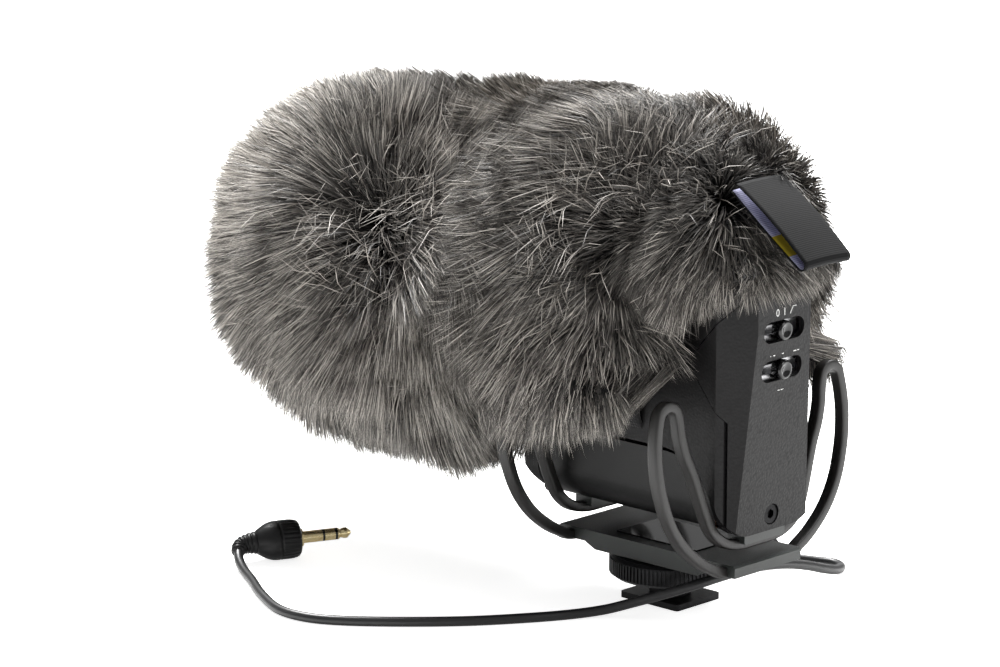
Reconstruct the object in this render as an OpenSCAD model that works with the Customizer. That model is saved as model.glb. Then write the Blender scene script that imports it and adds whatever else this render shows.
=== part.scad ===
// On-camera microphone with a long-pile fur windscreen, sprung hoops and a shoe foot.
// Millimetres. +Z up, nose towards -X, controls towards +X.
// The origin is the centre of the foot's underside, on the axis of its camera thread.

/* [Microphone housing] */
// Width of the housing
body_w = 38; // [32:0.5:46]
// Height of the housing's top above the foot's underside
body_top = 100; // [96:0.5:106]
// Height of the upper housing's underside
upper_bottom = 50; // [49:0.5:54]
// Front face of the upper housing
body_front = -52; // [-60:1:-46]
// Rear face of the housing, at its widest
body_rear = 40.5; // [40:0.5:45]
// Wall of the moulded housing parts
wall = 1.8; // [1.4:0.1:2.4]
// Radius of the housing's long edges
edge_r = 10; // [7:0.5:12]
// Chamfer down the rear corners
rear_chamfer = 8; // [4:0.5:9]
// How far the rear panel leans forward at its foot
rear_lean = 4; // [0:0.5:4]

/* [Battery housing] */
// Height of the battery housing's underside
belly_bottom = 27; // [26:0.5:29]
// Gap between battery housing and upper housing
belly_gap = 1.5; // [1:0.1:2.5]
// Width of the battery housing
belly_w = 35; // [33.5:0.5:36]
// Front face of the battery housing
belly_front = -40; // [-44:0.5:-40]
// Radius of the battery housing's round rear end
belly_r = 17.5; // [16.5:0.5:18.5]

/* [Battery] */
// Length of the nine-volt block battery
battery_l = 46.5; // [44:0.5:46.5]
// Width of the battery
battery_w = 26; // [24:0.5:27]
// Height of the battery
battery_h = 16.5; // [15:0.5:17]

/* [Sound parts] */
// Radius of the slotted interference tube
tube_r = 10.5; // [9:0.5:12]
// Wall of the interference tube
tube_wall = 1; // [0.8:0.1:1.5]
// Front end of the interference tube
tube_front = -100; // [-106:1:-94]
// Front end of the foam windshield
foam_front = -108; // [-114:1:-102]
// Thickness of the foam wall
foam_wall = 3; // [2.5:0.5:6]
// Length of the microphone capsule
capsule_l = 11; // [8:0.5:14]

/* [Windscreen] */
// Radius of the fur's outer shape
fur_r = 54; // [50:1:60]
// Front of the fur
fur_front = -162; // [-168:1:-152]
// Rear of the fur at the top
fur_rear = 35; // [33:0.5:36]
// Radius that rounds the fur's nose
nose_r = 34; // [26:1:40]
// Height of the fur's axis
fur_z = 81; // [79:0.5:84]
// Thickness of the solid that stands for the pile
pile_skin = 0.8; // [0.6:0.1:1.6]
// Thickness of the knitted backing
backing_t = 0.8; // [0.6:0.1:1.2]
// Gap between backing and housing
backing_gap = 0.4; // [0.3:0.1:0.8]
// Width of the elastic hem
hem_w = 3.5; // [3:0.5:4.5]
// Width of the folded label tag
tag_w = 19; // [10:0.5:20]
// Length of the folded tag
tag_l = 26.5; // [16:0.5:28]
// Height at which the tag leaves the fur
tag_z = 119.5; // [112:0.5:119.5]
// How steeply the tag droops, in degrees
tag_droop = 37; // [20:1:45]

/* [Suspension] */
// Thickness of the hoop's strand
strand_t = 3; // [2.4:0.1:3.4]
// Depth of the hoop's strand along the microphone
strand_d = 3.5; // [2.8:0.1:4.4]
// Place of the front hoop where it meets the bar
front_hoop_x = -25.5; // [-27:0.5:-22]
// Place of the rear hoop where it meets the bar
rear_hoop_x = 31.5; // [29:0.5:33]
// How far the hoops lean forward, in degrees
hoop_lean = 4; // [0:0.5:5]
// Width of the base bar
bar_w = 28; // [26:0.5:30]
// Height of the base bar's top
bar_top = 19; // [18.6:0.1:19.4]
// Thickness of the base bar at its ends
bar_end_t = 3.4; // [3:0.1:3.8]
// Thickness of the base bar over the wheel
bar_mid_t = 5.2; // [4.6:0.1:5.3]

/* [Shoe] */
// Length of the foot plate along the microphone
foot_l = 21.6; // [19:0.2:23]
// Width of the foot plate between the shoe's rails
foot_w = 18.4; // [18:0.1:18.6]
// Thickness of the foot plate
foot_t = 1.8; // [1.6:0.1:2]
// Radius of the foot's corners
foot_r = 1; // [1:0.5:4]
// Radius of the stem that the wheel turns on
stem_r = 6; // [5.6:0.1:6.4]
// Radius of the camera thread's bore
thread_r = 4.1; // [3.8:0.1:4.4]
// Depth of the camera thread's bore
thread_depth = 6; // [4:0.5:7]
// Radius of the locking wheel
wheel_r = 17.3; // [15:0.1:18]
// Height of the locking wheel's underside
wheel_z = 7.2; // [6.8:0.1:7.4]
// Thickness of the locking wheel
wheel_t = 6.2; // [5:0.1:6.4]
// Number of ribs round the wheel
wheel_ribs = 90; // [60:2:110]
// Depth of the wheel's ribs
rib_depth = 0.45; // [0.3:0.05:0.7]

/* [Controls] */
// Height of the power switch
power_z = 84; // [82:0.5:86]
// Height of the level switch
level_z = 73; // [71:0.5:75]
// Height of each switch's slot
slot_h = 6; // [5.8:0.1:6.4]
// Radius of each slider knob
knob_r = 2.8; // [2:0.1:2.8]
// Travel of a slider to each side of its middle place
knob_travel = 4.5; // [3:0.1:5]

/* [Lead] */
// Diameter of the lead
cord_d = 2.8; // [2.4:0.1:3]
// Radius of the jack plug
jack_r = 1.75; // [1.75:0.05:1.8]
// Radius of the plug's body
plug_r = 5.8; // [5.2:0.1:6.2]
// Length of the plug's body
plug_l = 13; // [11:0.5:16]

/* [Hidden] */
$fn = 64;

big = 400;             // longer than any part, for cuts
touch = 0.02;          // overlap that joins shapes of one piece
fit = 0.05;            // radial clearance of a running fit
slip = 0.3;            // clearance between moving or soft parts

hw = body_w / 2;
axis_z = (body_top + upper_bottom) / 2;      // axis of capsule and tube
belly_top = upper_bottom - belly_gap;
belly_cx = body_rear - 27.5;                 // centre of the round rear end
belly_cz = belly_top - belly_r;
seam_x = body_rear - 6.4;                    // where the rear cover meets the sides
seam_gap = 0.25;                             // width of the seam round the cover
seam_foot_gap = 0.8;                         // and down its sides, where it widens to a slot
seam_peak_x = body_rear - 18.5;              // tip of the cover's side wings
seam_peak_z = body_top - 24.5;
seam_foot_z = body_top - 39.5;
seam_end_x = body_rear + 4.5;                // where the seam's line would reach the housing's top
board_x = body_rear - 12.5;
board_t = 1.6;
slot_l = 2 * (knob_travel + knob_r + 1.1);   // slot of each slider
panel_at = function (z) body_rear - rear_lean * max(0, (power_z - z) / (power_z - belly_bottom));

screw_z = belly_bottom + 4.5;
shank_r = 1.5;
head_r = 2.7;
head_x = panel_at(screw_z) - 1.8;
web_x = belly_cx + belly_r + belly_gap + 0.2;   // front of the wall that the screw bites in

belly_wall = wall - 0.4;
pin_x = belly_front + 5.5;                   // the door's hinge
pin_z = belly_bottom + 2;
pin_r = 0.8;
knuckle_r = 1.6;
ear_y = 11;                                  // where the housing's ears begin
ear_t = 2.5;
door_x = pin_x - 0.1;                        // plane between door and housing
battery_z = belly_top - belly_wall - battery_h - 0.1;
battery_x = belly_cx + 1.8 - battery_l;

knob_stem = 2;
tube_rear = body_front + 14;
tag_y = -2.4;                                // middle of the tag
hem_t = 1.2;

// --- outlines ---

// Rectangle with round corners, given by its low and high corners
module round_rect(lo, hi, r) {
    union() {
        translate([lo[0] + r, lo[1]]) square([hi[0] - lo[0] - 2 * r, hi[1] - lo[1]]);
        translate([lo[0], lo[1] + r]) square([hi[0] - lo[0], hi[1] - lo[1] - 2 * r]);
        for (x = [lo[0] + r, hi[0] - r], y = [lo[1] + r, hi[1] - r])
            translate([x, y]) circle(r);
    }
}

// An outline in Y and Z, drawn out along X from x0 to x1
module along_x(x0, x1) {
    translate([x0, 0, 0]) rotate([90, 0, 90]) linear_extrude(x1 - x0) children();
}

// An outline in X and Z, drawn out across Y over the given width
module across_y(w) {
    translate([0, w / 2, 0]) rotate([90, 0, 0]) linear_extrude(w) children();
}

// A cylinder lying along X
module rod_x(r, x0, x1, y = 0, z = 0) {
    translate([x0, y, z]) rotate([0, 90, 0]) cylinder(r = r, h = x1 - x0);
}

// A cylinder lying along Y, centred on Y = 0
module rod_y(r, w, x, z) {
    translate([x, w / 2, z]) rotate([90, 0, 0]) cylinder(r = r, h = w);
}

// --- housing ---

// The whole housing as one block: sides, leaning rear panel and chamfered rear corners.
// inset draws it smaller on every side, for the hollow.
module housing_block(inset) {
    intersection() {
        along_x(body_front + inset, body_rear + 1)
            round_rect([-hw + inset, belly_bottom + inset], [hw - inset, body_top - inset],
                       edge_r - inset);
        across_y(body_w + 2)
            polygon([[body_front, belly_bottom - 1], [panel_at(belly_bottom) - inset, belly_bottom - 1],
                     [body_rear - inset, power_z], [body_rear - inset, body_top - 4],
                     [body_rear - inset - 3, body_top + 1], [body_front, body_top + 1]]);
        linear_extrude(body_top + 2)
            polygon([[body_front - 1, -hw - 1], [body_rear - rear_chamfer - inset - 1, -hw - 1],
                     [body_rear - inset + 2, -hw + rear_chamfer + 2],
                     [body_rear - inset + 2, hw - rear_chamfer - 2],
                     [body_rear - rear_chamfer - inset - 1, hw + 1], [body_front - 1, hw + 1]]);
    }
}

// Everything behind the seam: the rear cover with its side wings
module behind_seam(gap, foot_gap) {
    across_y(big)
        polygon([[seam_x + foot_gap, 0], [seam_x + foot_gap, seam_foot_z - foot_gap],
                 [seam_peak_x + gap * 1.5, seam_peak_z],
                 [seam_end_x + gap * 1.5, body_top + 2], [body_rear + 10, body_top + 2],
                 [body_rear + 10, 0]]);
}

// The hollow under the upper housing that the battery housing's round end sits in
module belly_recess() {
    union() {
        translate([-big, -big / 2, 0]) cube([big + belly_cx, big, upper_bottom]);
        rod_y(belly_r + belly_gap, big, belly_cx, belly_cz);
        translate([belly_cx - 1, -big / 2, 0])
            cube([belly_r + belly_gap + 1, big, belly_cz]);
    }
}

module upper_housing() {
    color("#2b2b2d")
    difference() {
        housing_block(0);
        difference() {
            housing_block(wall);
            // floor over the battery housing
            translate([body_front, -hw, upper_bottom]) cube([belly_cx - body_front, body_w, wall]);
            difference() {
                rod_y(belly_r + belly_gap + wall, body_w, belly_cx, belly_cz);
                translate([-big / 2, -hw, 0]) cube([big, body_w, belly_cz]);
            }
            // wall across the foot of the sides, for the rear screw
            difference() {
                translate([web_x, -hw, belly_bottom]) cube([big, body_w, screw_z + 5 - belly_bottom]);
                rod_x(shank_r + fit, web_x - 1, big, 0, screw_z);
            }
            // ledge that holds the capsule mount
            difference() {
                along_x(body_front, body_front + 3)
                    round_rect([-hw + wall, upper_bottom], [hw - wall, body_top - wall], edge_r - wall);
                rod_x(tube_r + 2.5, body_front - 1, body_front + 4, 0, axis_z);
            }
        }
        rod_x(tube_r + 2.5, body_front - 1, body_front + 4, 0, axis_z);
        belly_recess();
        behind_seam(0, 0);
        rod_x(shank_r + fit, web_x - 1, body_rear, 0, screw_z);
    }
}

module rear_cover() {
    slot_cut = wall + rear_chamfer;
    color("#333335")
    difference() {
        union() {
            intersection() {
                difference() {
                    housing_block(0);
                    housing_block(wall);
                }
                behind_seam(seam_gap, seam_foot_gap);
            }
            // cup behind the screw's recess
            rod_x(head_r + 1.2, seam_x + seam_gap, panel_at(screw_z) - wall + 0.7, 0, screw_z);
        }
        for (z = [power_z, level_z])
            along_x(body_rear - slot_cut, body_rear + 1)
                round_rect([-slot_l / 2, z - slot_h / 2], [slot_l / 2, z + slot_h / 2],
                           slot_h / 2 - 0.1);
        rod_x(head_r + slip, head_x, body_rear, 0, screw_z);
        rod_x(shank_r + fit, body_rear - 14, body_rear, 0, screw_z);
    }
}

module rear_screw() {
    color("#6a6a6c")
    difference() {
        union() {
            rod_x(head_r, head_x, head_x + 1.5, 0, screw_z);
            rod_x(shank_r, web_x - 0.4, head_x + touch, 0, screw_z);
        }
        translate([head_x + 0.5, 0, screw_z]) rotate([0, 90, 0]) cylinder(r = 1.4, h = 3, $fn = 6);
    }
}

// --- battery housing ---

module belly_block(inset) {
    intersection() {
        along_x(belly_front, body_rear)
            round_rect([-belly_w / 2 + inset, belly_bottom + inset],
                       [belly_w / 2 - inset, belly_top + 12], edge_r - inset);
        across_y(belly_w + 2)
            union() {
                polygon([[belly_front + 2 + inset, belly_bottom + 5], [pin_x + 1, belly_bottom + inset],
                         [belly_cx + belly_r - inset, belly_bottom + inset],
                         [belly_cx + belly_r - inset, belly_cz], [belly_cx, belly_cz],
                         [belly_cx, belly_top - inset], [belly_front + inset, belly_top - inset],
                         [belly_front + inset, belly_bottom + 8]]);
                translate([belly_cx, belly_cz]) circle(belly_r - inset);
            }
    }
}

module battery_housing() {
    color("#262628")
    difference() {
        union() {
            difference() {
                belly_block(0);
                belly_block(belly_wall);
                translate([door_x - big, -big / 2, 0]) cube([big, big, big]);
            }
            // the saddle that joins it to the upper housing
            translate([-18, -12, belly_top - 1]) cube([belly_cx + 17, 24, upper_bottom - belly_top + 1]);
            for (s = [-1, 1])
                translate([0, s * (ear_y + ear_t / 2), 0]) {
                    rod_y(knuckle_r, ear_t, pin_x, pin_z);
                    translate([pin_x, -ear_t / 2, belly_bottom]) cube([3, ear_t, pin_z - belly_bottom + 1]);
                }
        }
        rod_y(pin_r + fit, big, pin_x, pin_z);
        rod_y(knuckle_r + slip, 2 * ear_y, pin_x, pin_z);
    }
}

module battery_door() {
    color("#29292b")
    difference() {
        union() {
            difference() {
                belly_block(0);
                belly_block(belly_wall);
                translate([door_x - slip, -big / 2, 0]) cube([big, big, big]);
                translate([-big, -big / 2, 0]) cube([2 * big, big, pin_z + 0.1]);
            }
            rod_y(knuckle_r, 2 * ear_y - 2 * slip, pin_x, pin_z);
            translate([pin_x - 3.4, -ear_y + slip, pin_z]) cube([2.4, 2 * (ear_y - slip), 1.4]);
        }
        rod_y(pin_r + fit, big, pin_x, pin_z);
        for (s = [-1, 1])
            translate([0, s * (ear_y + ear_t / 2), 0]) rod_y(knuckle_r + slip, ear_t + 2 * slip, pin_x, pin_z);
    }
}

module door_pin() {
    color("silver") rod_y(pin_r, 2 * (ear_y + ear_t) - 0.4, pin_x, pin_z);
}

module battery() {
    color("#8a7a30") along_x(battery_x, battery_x + battery_l)
        round_rect([-battery_w / 2, battery_z], [battery_w / 2, battery_z + battery_h], 1.5);
}

module battery_terminals() {
    color("silver") for (s = [-1, 1])
        rod_x(2.6, battery_x - 1.6, battery_x, s * 6.3, battery_z + battery_h / 2);
}

module snap_connector() {
    color("#1d1d1e")
    difference() {
        translate([battery_x - 2.8, -11, battery_z + 2]) cube([1.9, 22, battery_h - 4]);
        for (s = [-1, 1])
            rod_x(2.7, battery_x - 2, battery_x, s * 6.3, battery_z + battery_h / 2);
    }
}

// Leaf of spring metal in the gap round the battery housing's rear end, on both sides
module side_spring() {
    color("#b79a90") for (s = [-1, 1])
        translate([0, s * (belly_w / 2 - 1.6), 0])
            intersection() {
                difference() {
                    rod_y(belly_r + 0.9, 1.6, belly_cx, belly_cz);
                    rod_y(belly_r + 0.4, 4, belly_cx, belly_cz);
                }
                translate([belly_cx + belly_r * 0.8, -2, belly_cz - 1]) cube([big, 4, 9]);
            }
}

// --- electronics ---

module circuit_board() {
    color("#1f5a3a")
    difference() {
        translate([board_x, -14, belly_bottom + 27]) cube([board_t, 28, body_top - belly_bottom - 33]);
        for (s = [-1, 1])
            rod_x(1.3, board_x - 1, board_x + 3, s * 10.5, body_top - 9);
    }
}

module capacitors() {
    color("#3a4a6a") for (y = [-8, 0, 8])
        rod_x(3, board_x - 10, board_x, y, power_z - 20);
}

module switch_body(z) {
    x1 = body_rear - wall - 1.2;
    difference() {
        translate([board_x + board_t, -slot_l / 2 - 2, z - 3.6])
            cube([x1 - board_x - board_t, slot_l + 4, 7.2]);
        // channel that the slider runs in
        translate([x1 - 3, -slot_l / 2, z - knob_stem / 2 - slip])
            cube([4, slot_l, knob_stem + 2 * slip]);
    }
}
module slider(z) {
    x1 = body_rear - wall - 1.2;
    union() {
        rod_x(knob_r, body_rear - wall - 0.7, body_rear + 0.9, 0, z);
        translate([x1 - 2.6, -3, z - knob_stem / 2]) cube([4, 6, knob_stem]);
    }
}

module power_switch_body() { color("#8f8f92") switch_body(power_z); }
module level_switch_body() { color("#8f8f92") switch_body(level_z); }
module power_knob() { color("#101011") slider(power_z); }
module level_knob() { color("#101011") slider(level_z); }

// --- sound parts ---

module interference_tube() {
    slots = 9;
    pitch = (body_front - tube_front - 8) / slots;
    color("#3c3c3e")
    difference() {
        rod_x(tube_r, tube_front, tube_rear, 0, axis_z);
        rod_x(tube_r - tube_wall, tube_front - 1, tube_rear + 1, 0, axis_z);
        for (i = [0:slots - 1])
            translate([tube_front + 5 + i * pitch, -tube_r - 1, axis_z - 2])
                cube([2.4, 2 * tube_r + 2, 4]);
    }
}

module tube_nose() {
    color("#2a2a2c")
    difference() {
        rod_x(tube_r + 1.2, tube_front - 2, tube_front + 3, 0, axis_z);
        rod_x(tube_r, tube_front, tube_front + 4, 0, axis_z);
        rod_x(tube_r - 3, tube_front - 3, tube_front + 1, 0, axis_z);
    }
}

module capsule() {
    color("#a08a4a")
    rod_x(tube_r - tube_wall, tube_rear - capsule_l, tube_rear, 0, axis_z);
}

module capsule_mount() {
    color("#1b1b1b")
    difference() {
        rod_x(tube_r + 2.5, body_front, tube_rear - 2, 0, axis_z);
        rod_x(tube_r, body_front - 1, tube_rear, 0, axis_z);
    }
}

module foam_block(inset, x0, x1) {
    along_x(x0, x1)
        round_rect([-hw + 0.2 + inset, upper_bottom + 2 + inset],
                   [hw - 0.2 - inset, body_top - 1 - inset], edge_r + 6 - inset);
}

module foam_windshield() {
    color("#1a1a1a")
    difference() {
        foam_block(0, foam_front, body_front);
        foam_block(foam_wall, foam_front + foam_wall, body_front + 1);
    }
}

// --- windscreen ---

// The fur's outer shape as a turned body lying along X; inset makes the hollow
module fur_block(inset) {
    r = fur_r - inset;
    front_r = nose_r - inset;
    rear_r = 12;
    steps = 12;
    nose_c = fur_front + nose_r;
    rear_c = fur_rear - rear_r;
    outline = concat(
        [[fur_front + inset, 0]],
        [for (i = [0:steps]) let (a = 90 * i / steps)
            [nose_c - front_r * cos(a), fur_r - nose_r + front_r * sin(a)]],
        [for (i = [0:6]) let (a = 90 - 90 * i / 6)
            [rear_c + (rear_r - inset) * cos(a), fur_r - rear_r + (rear_r - inset) * sin(a)]],
        [[fur_rear - inset, 0]]);
    // the outline is in X and radius, turned about Z and then laid along X
    translate([0, 0, fur_z]) rotate([0, 90, 0])
        rotate_extrude($fn = 96) polygon([for (p = outline) [p[1], p[0]]]);
}

// What the windscreen leaves free below: the hoops' path and the slanted rear edge
module open_below() {
    union() {
        translate([fur_front + 96, -41.5, 0]) cube([big, 83, 72]);
        across_y(big)
            polygon([[fur_rear - 3, body_top - 3], [fur_rear - 18, upper_bottom + 12],
                     [fur_rear - 18, 0], [fur_rear + 10, 0], [fur_rear + 10, body_top - 3]]);
    }
}

// The shape that the backing has inside, over foam and housing
module sleeve_block(inset, x0, x1, low = upper_bottom - 12) {
    along_x(x0, x1)
        round_rect([-hw - backing_gap - backing_t + inset, low + inset],
                   [hw + backing_gap + backing_t - inset, body_top + backing_gap + backing_t - inset],
                   edge_r + backing_gap + backing_t - inset);
}

module fur_pile() {
    color("#8d8a84")
    difference() {
        fur_block(0);
        fur_block(pile_skin);
        open_below();
        sleeve_block(0, body_front, fur_rear + 1);
    }
}

module fur_backing() {
    nose_low = upper_bottom - 0.4;
    nose_end = body_front - 4;
    color("#2a2828")
    difference() {
        union() {
            difference() {
                sleeve_block(0, foam_front - 3, nose_end + touch, nose_low);
                sleeve_block(backing_t, foam_front - 3 + backing_t, nose_end + 1, nose_low);
            }
            difference() {
                sleeve_block(0, nose_end, fur_rear);
                sleeve_block(backing_t, nose_end - 1, fur_rear + 1);
                translate([nose_end - 1, -big / 2, 0]) cube([big, big, upper_bottom + 3]);
            }
        }
        across_y(big)
            polygon([[fur_rear - 3, body_top - 3], [fur_rear - 18, upper_bottom + 12],
                     [fur_rear - 18, 0], [fur_rear + 10, 0], [fur_rear + 10, body_top - 3]]);
    }
}

module elastic_hem() {
    color("#1c1c1c")
    difference() {
        sleeve_block(-hem_t, fur_rear + touch, fur_rear + hem_w);
        sleeve_block(backing_t, fur_rear - 1, fur_rear + hem_w + 1);
        translate([-big / 2, -big / 2, 0]) cube([big, big, body_top - edge_r]);
    }
}

// Folded strip that droops from the fur's rear wall: two leaves that meet in a round fold
module label_tag() {
    leaf = 0.7;
    fold_r = 1.8;
    hidden = 4;
    color("#161616")
    difference() {
        translate([fur_rear, tag_y + tag_w / 2, tag_z]) rotate([0, tag_droop, 0])
            rotate([90, 0, 0]) linear_extrude(tag_w)
                difference() {
                    union() {
                        translate([-hidden, 0]) square([tag_l - fold_r + hidden, 2 * fold_r]);
                        translate([tag_l - fold_r, fold_r]) circle(fold_r);
                    }
                    union() {
                        translate([-hidden - 1, leaf])
                            square([tag_l - fold_r + hidden + 1, 2 * (fold_r - leaf)]);
                        translate([tag_l - fold_r, fold_r]) circle(fold_r - leaf);
                    }
                }
        translate([-big + fur_rear, -big / 2, 0]) cube([big, big, big]);
    }
}
// --- suspension ---

hoop_low = 16.6;       // height of the hoop's low run
hoop_fits = 19;        // half width of the housing that the points below are drawn for
// Half of a hoop's centre line in Y and Z, from the base out, up, over and down to the cradle
half_hoop = [
    [0, hoop_low], [13.5, hoop_low], [18, 18.2], [24, 21.6], [30.5, 27.2], [35.4, 34.5], [38.4, 43.5],
    [39.4, 51], [39.2, 57], [38.2, 62.4], [36.9, 65.3], [34.1, 66.5], [31.3, 65.3], [30.1, 62.4],
    [29.4, 57], [27.8, 51.5], [25.2, 46], [22.8, 39.5], [21, 34.5], [18.4, 29], [14, 25.2],
    [8, 23.4], [0, 23.2]
];

// Point between b and c on a smooth curve through a, b, c, d
function blend(a, b, c, d, t) =
    0.5 * (2 * b + (c - a) * t + (2 * a - 5 * b + 4 * c - d) * t * t
           + (3 * b - a - 3 * c + d) * t * t * t);

// The same points moved out with a wider housing
hoop_side = [for (p = half_hoop) [p[0] > 13 ? p[0] + hw - hoop_fits : p[0], p[1]]];
hoop_loop = concat(hoop_side, [for (i = [len(half_hoop) - 2:-1:1]) [-hoop_side[i][0], hoop_side[i][1]]]);
hoop_steps = 3;
hoop_n = len(hoop_loop);
hoop_line = [for (i = [0:hoop_n - 1], k = [0:hoop_steps - 1])
    blend(hoop_loop[(i + hoop_n - 1) % hoop_n], hoop_loop[i], hoop_loop[(i + 1) % hoop_n],
          hoop_loop[(i + 2) % hoop_n], k / hoop_steps)];

// The line moved sideways by d, as an offset outline
function beside(line, d) =
    let (n = len(line))
    [for (i = [0:n - 1])
        let (v = line[(i + 1) % n] - line[(i + n - 1) % n], u = v / norm(v))
        line[i] + d * [u[1], -u[0]]];

// Leans children forward about the hoop's low run
module lean(x) {
    translate([x, 0, hoop_low]) rotate([0, -hoop_lean, 0]) translate([-x, 0, -hoop_low]) children();
}

module hoop(x) {
    lean(x) along_x(x - strand_d / 2, x + strand_d / 2)
        difference() {
            polygon(beside(hoop_line, strand_t / 2));
            polygon(beside(hoop_line, -strand_t / 2));
        }
}

module front_hoop() { color("#2c2c2e") hoop(front_hoop_x); }
module rear_hoop() { color("#2c2c2e") hoop(rear_hoop_x); }

// Shoe on the housing's underside that sits in a hoop's cradle
cradle_low = 23.2 + strand_t / 2;
cradle_w = 17;
cradle_d = strand_d + 2.6;
module cradle(x) {
    difference() {
        along_x(x - cradle_d / 2, x + cradle_d / 2)
            round_rect([-cradle_w / 2, cradle_low - 0.9], [cradle_w / 2, belly_bottom + 1], 0.8);
        belly_fill();
        hoop(x);
        lean(x) along_x(x - strand_d / 2, x + strand_d / 2)
            translate([-big / 2, cradle_low - strand_t]) square([big, strand_t]);
    }
}
module belly_fill() {
    for (w = [belly_w, body_w])
        along_x(-big / 2, big / 2)
            round_rect([-w / 2, belly_bottom], [w / 2, belly_top + 12], edge_r);
}
module front_cradle() { color("#252527") cradle(front_hoop_x); }
module rear_cradle() { color("#252527") cradle(rear_hoop_x); }

bar_x0 = front_hoop_x - strand_d / 2 - 2.6;
bar_x1 = rear_hoop_x + strand_d / 2 + 2.6;
bar_mid = (bar_x0 + bar_x1) / 2;
bar_half = 19;         // half length of the thick middle
insert_d = 1.2;

// The strand's own low run passes through the bar, so the bar is cut round it
module base_bar() {
    color("#2f3031")
    difference() {
        across_y(bar_w)
            polygon([[bar_x0, bar_top - bar_end_t], [bar_mid - bar_half - 4, bar_top - bar_end_t],
                     [bar_mid - bar_half, bar_top - bar_mid_t], [bar_mid + bar_half, bar_top - bar_mid_t],
                     [bar_mid + bar_half + 4, bar_top - bar_end_t], [bar_x1, bar_top - bar_end_t],
                     [bar_x1, bar_top - 0.6], [bar_x1 - 0.6, bar_top], [bar_x0 + 0.6, bar_top],
                     [bar_x0, bar_top - 0.6]]);
        for (x = [front_hoop_x, rear_hoop_x])
            lean(x) along_x(x - strand_d / 2, x + strand_d / 2)
                translate([-big / 2, 0]) square([big, hoop_low + 0.1 + strand_t / 2]);
        insert_form(0);
        cylinder(r = 3.4, h = big);
        cylinder(r = 1.7, h = big, center = true);
    }
}

module insert_form(gap) {
    translate([bar_mid - 15 + gap, -9.5 + gap, bar_top - insert_d])
        cube([30 - 2 * gap, 19 - 2 * gap, insert_d + 0.3]);
}

module base_insert() {
    color("#151617") insert_form(0.1);
}

module base_screw() {
    z0 = bar_top - bar_mid_t;
    color("#7c7c7e")
    difference() {
        union() {
            cylinder(r = 1.5, h = bar_top - insert_d - 1.6);
            translate([0, 0, z0 + 1.6]) cylinder(r = 3.2, h = bar_top - insert_d - 0.2 - z0 - 1.6);
        }
        translate([0, 0, -1]) cylinder(r = 4, h = 1 + thread_depth + 1.5);
    }
}

// --- shoe ---

module shoe_foot() {
    color("#1e1e1f")
    difference() {
        union() {
            linear_extrude(foot_t)
                round_rect([-foot_l / 2, -foot_w / 2], [foot_l / 2, foot_w / 2], foot_r);
            translate([0, 0, touch]) cylinder(r = stem_r, h = bar_top - bar_mid_t - touch);
        }
        translate([0, 0, -1]) cylinder(r = thread_r, h = thread_depth + 1);
        translate([0, 0, thread_depth + 1.4]) cylinder(r = 1.5, h = big);
    }
}

module lock_wheel() {
    lip = 0.7;
    color("#242425")
    difference() {
        translate([0, 0, wheel_z]) rotate_extrude($fn = 96)
            polygon([[stem_r + fit, 0], [wheel_r - 1.4, 0], [wheel_r - rib_depth, 0.8],
                     [wheel_r - rib_depth, wheel_t - 0.7], [wheel_r - 1.4, wheel_t],
                     [stem_r + fit, wheel_t]]);
        translate([0, 0, wheel_z + wheel_t - lip]) cylinder(r = wheel_r - 5, h = big);
    }
    color("#242425")
    for (i = [0:wheel_ribs - 1])
        rotate([0, 0, 360 * (i + 0.5) / wheel_ribs])
            translate([wheel_r - rib_depth - 0.3, -0.3, wheel_z + 1])
                cube([rib_depth + 0.3, 0.6, wheel_t - 1.9]);
}

module pressure_washer() {
    color("#3a3a3a")
    difference() {
        translate([0, 0, wheel_z - 0.8]) cylinder(r = stem_r + 2.6, h = 0.8);
        translate([0, 0, 0]) cylinder(r = stem_r + fit, h = big);
    }
}

// --- lead and plug ---

// Where the lead leaves the battery housing, and the way the plug points
exit_x = -6;
exit_z = 36;
exit_y = belly_w / 2;
gland_l = 4;
plug_turn = 60;                    // degrees from +X towards +Y
plug_tilt = 2;                     // degrees nose up
plug_wide = plug_l - 5;            // where the body's full width ends, and rests
// where the jack meets the plug's body
plug_at = [-105, -44.5, plug_r * cos(plug_tilt) + plug_wide * sin(plug_tilt)];
boot_r = 3.4;                      // the boot's radius where it meets the body

// The lead's centre line from the gland to the boot
cord_points = [
    [-6, 21.5, 36], [-6, 26, 35.5], [-5.6, 31, 33], [-4.6, 35.5, 28], [-3.2, 39, 21], [-1.6, 42, 13],
    [0.6, 45.5, 6], [4, 49.5, 2.4], [9, 53.5, 1.4], [14, 55.5, 1.4], [18.4, 53.5, 1.5], [20.6, 48.5, 2.2],
    [21.6, 42, 4], [22.2, 33, 7], [22.8, 22, 9.8], [23.4, 10, 11.6], [23.4, -2, 12], [21.4, -13, 11],
    [15.4, -19.8, 8.4], [7, -23.5, 5], [0, -27.5, 2.4], [-6, -35, 1.4], [-12.5, -46, 1.4],
    [-22, -59, 1.4], [-34, -71.5, 1.4], [-47, -82.5, 1.4], [-57, -87.5, 1.4], [-68, -87.5, 1.4],
    [-82, -81, 1.4], [-94, -73.5, 1.4], [-103, -68.3, 1.6], [-109, -64.6, 2.6], [-112.6, -61.6, 4]
];

cord_sides = 8;
cord_count = len(cord_points);

function path_point(i, t) =
    blend(cord_points[max(0, i - 1)], cord_points[i], cord_points[min(cord_count - 1, i + 1)],
          cord_points[min(cord_count - 1, i + 2)], t);
cord_line = concat(
    [for (i = [0:cord_count - 2], k = [0:1]) path_point(i, k / 2)],
    [cord_points[cord_count - 1]]);

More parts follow.
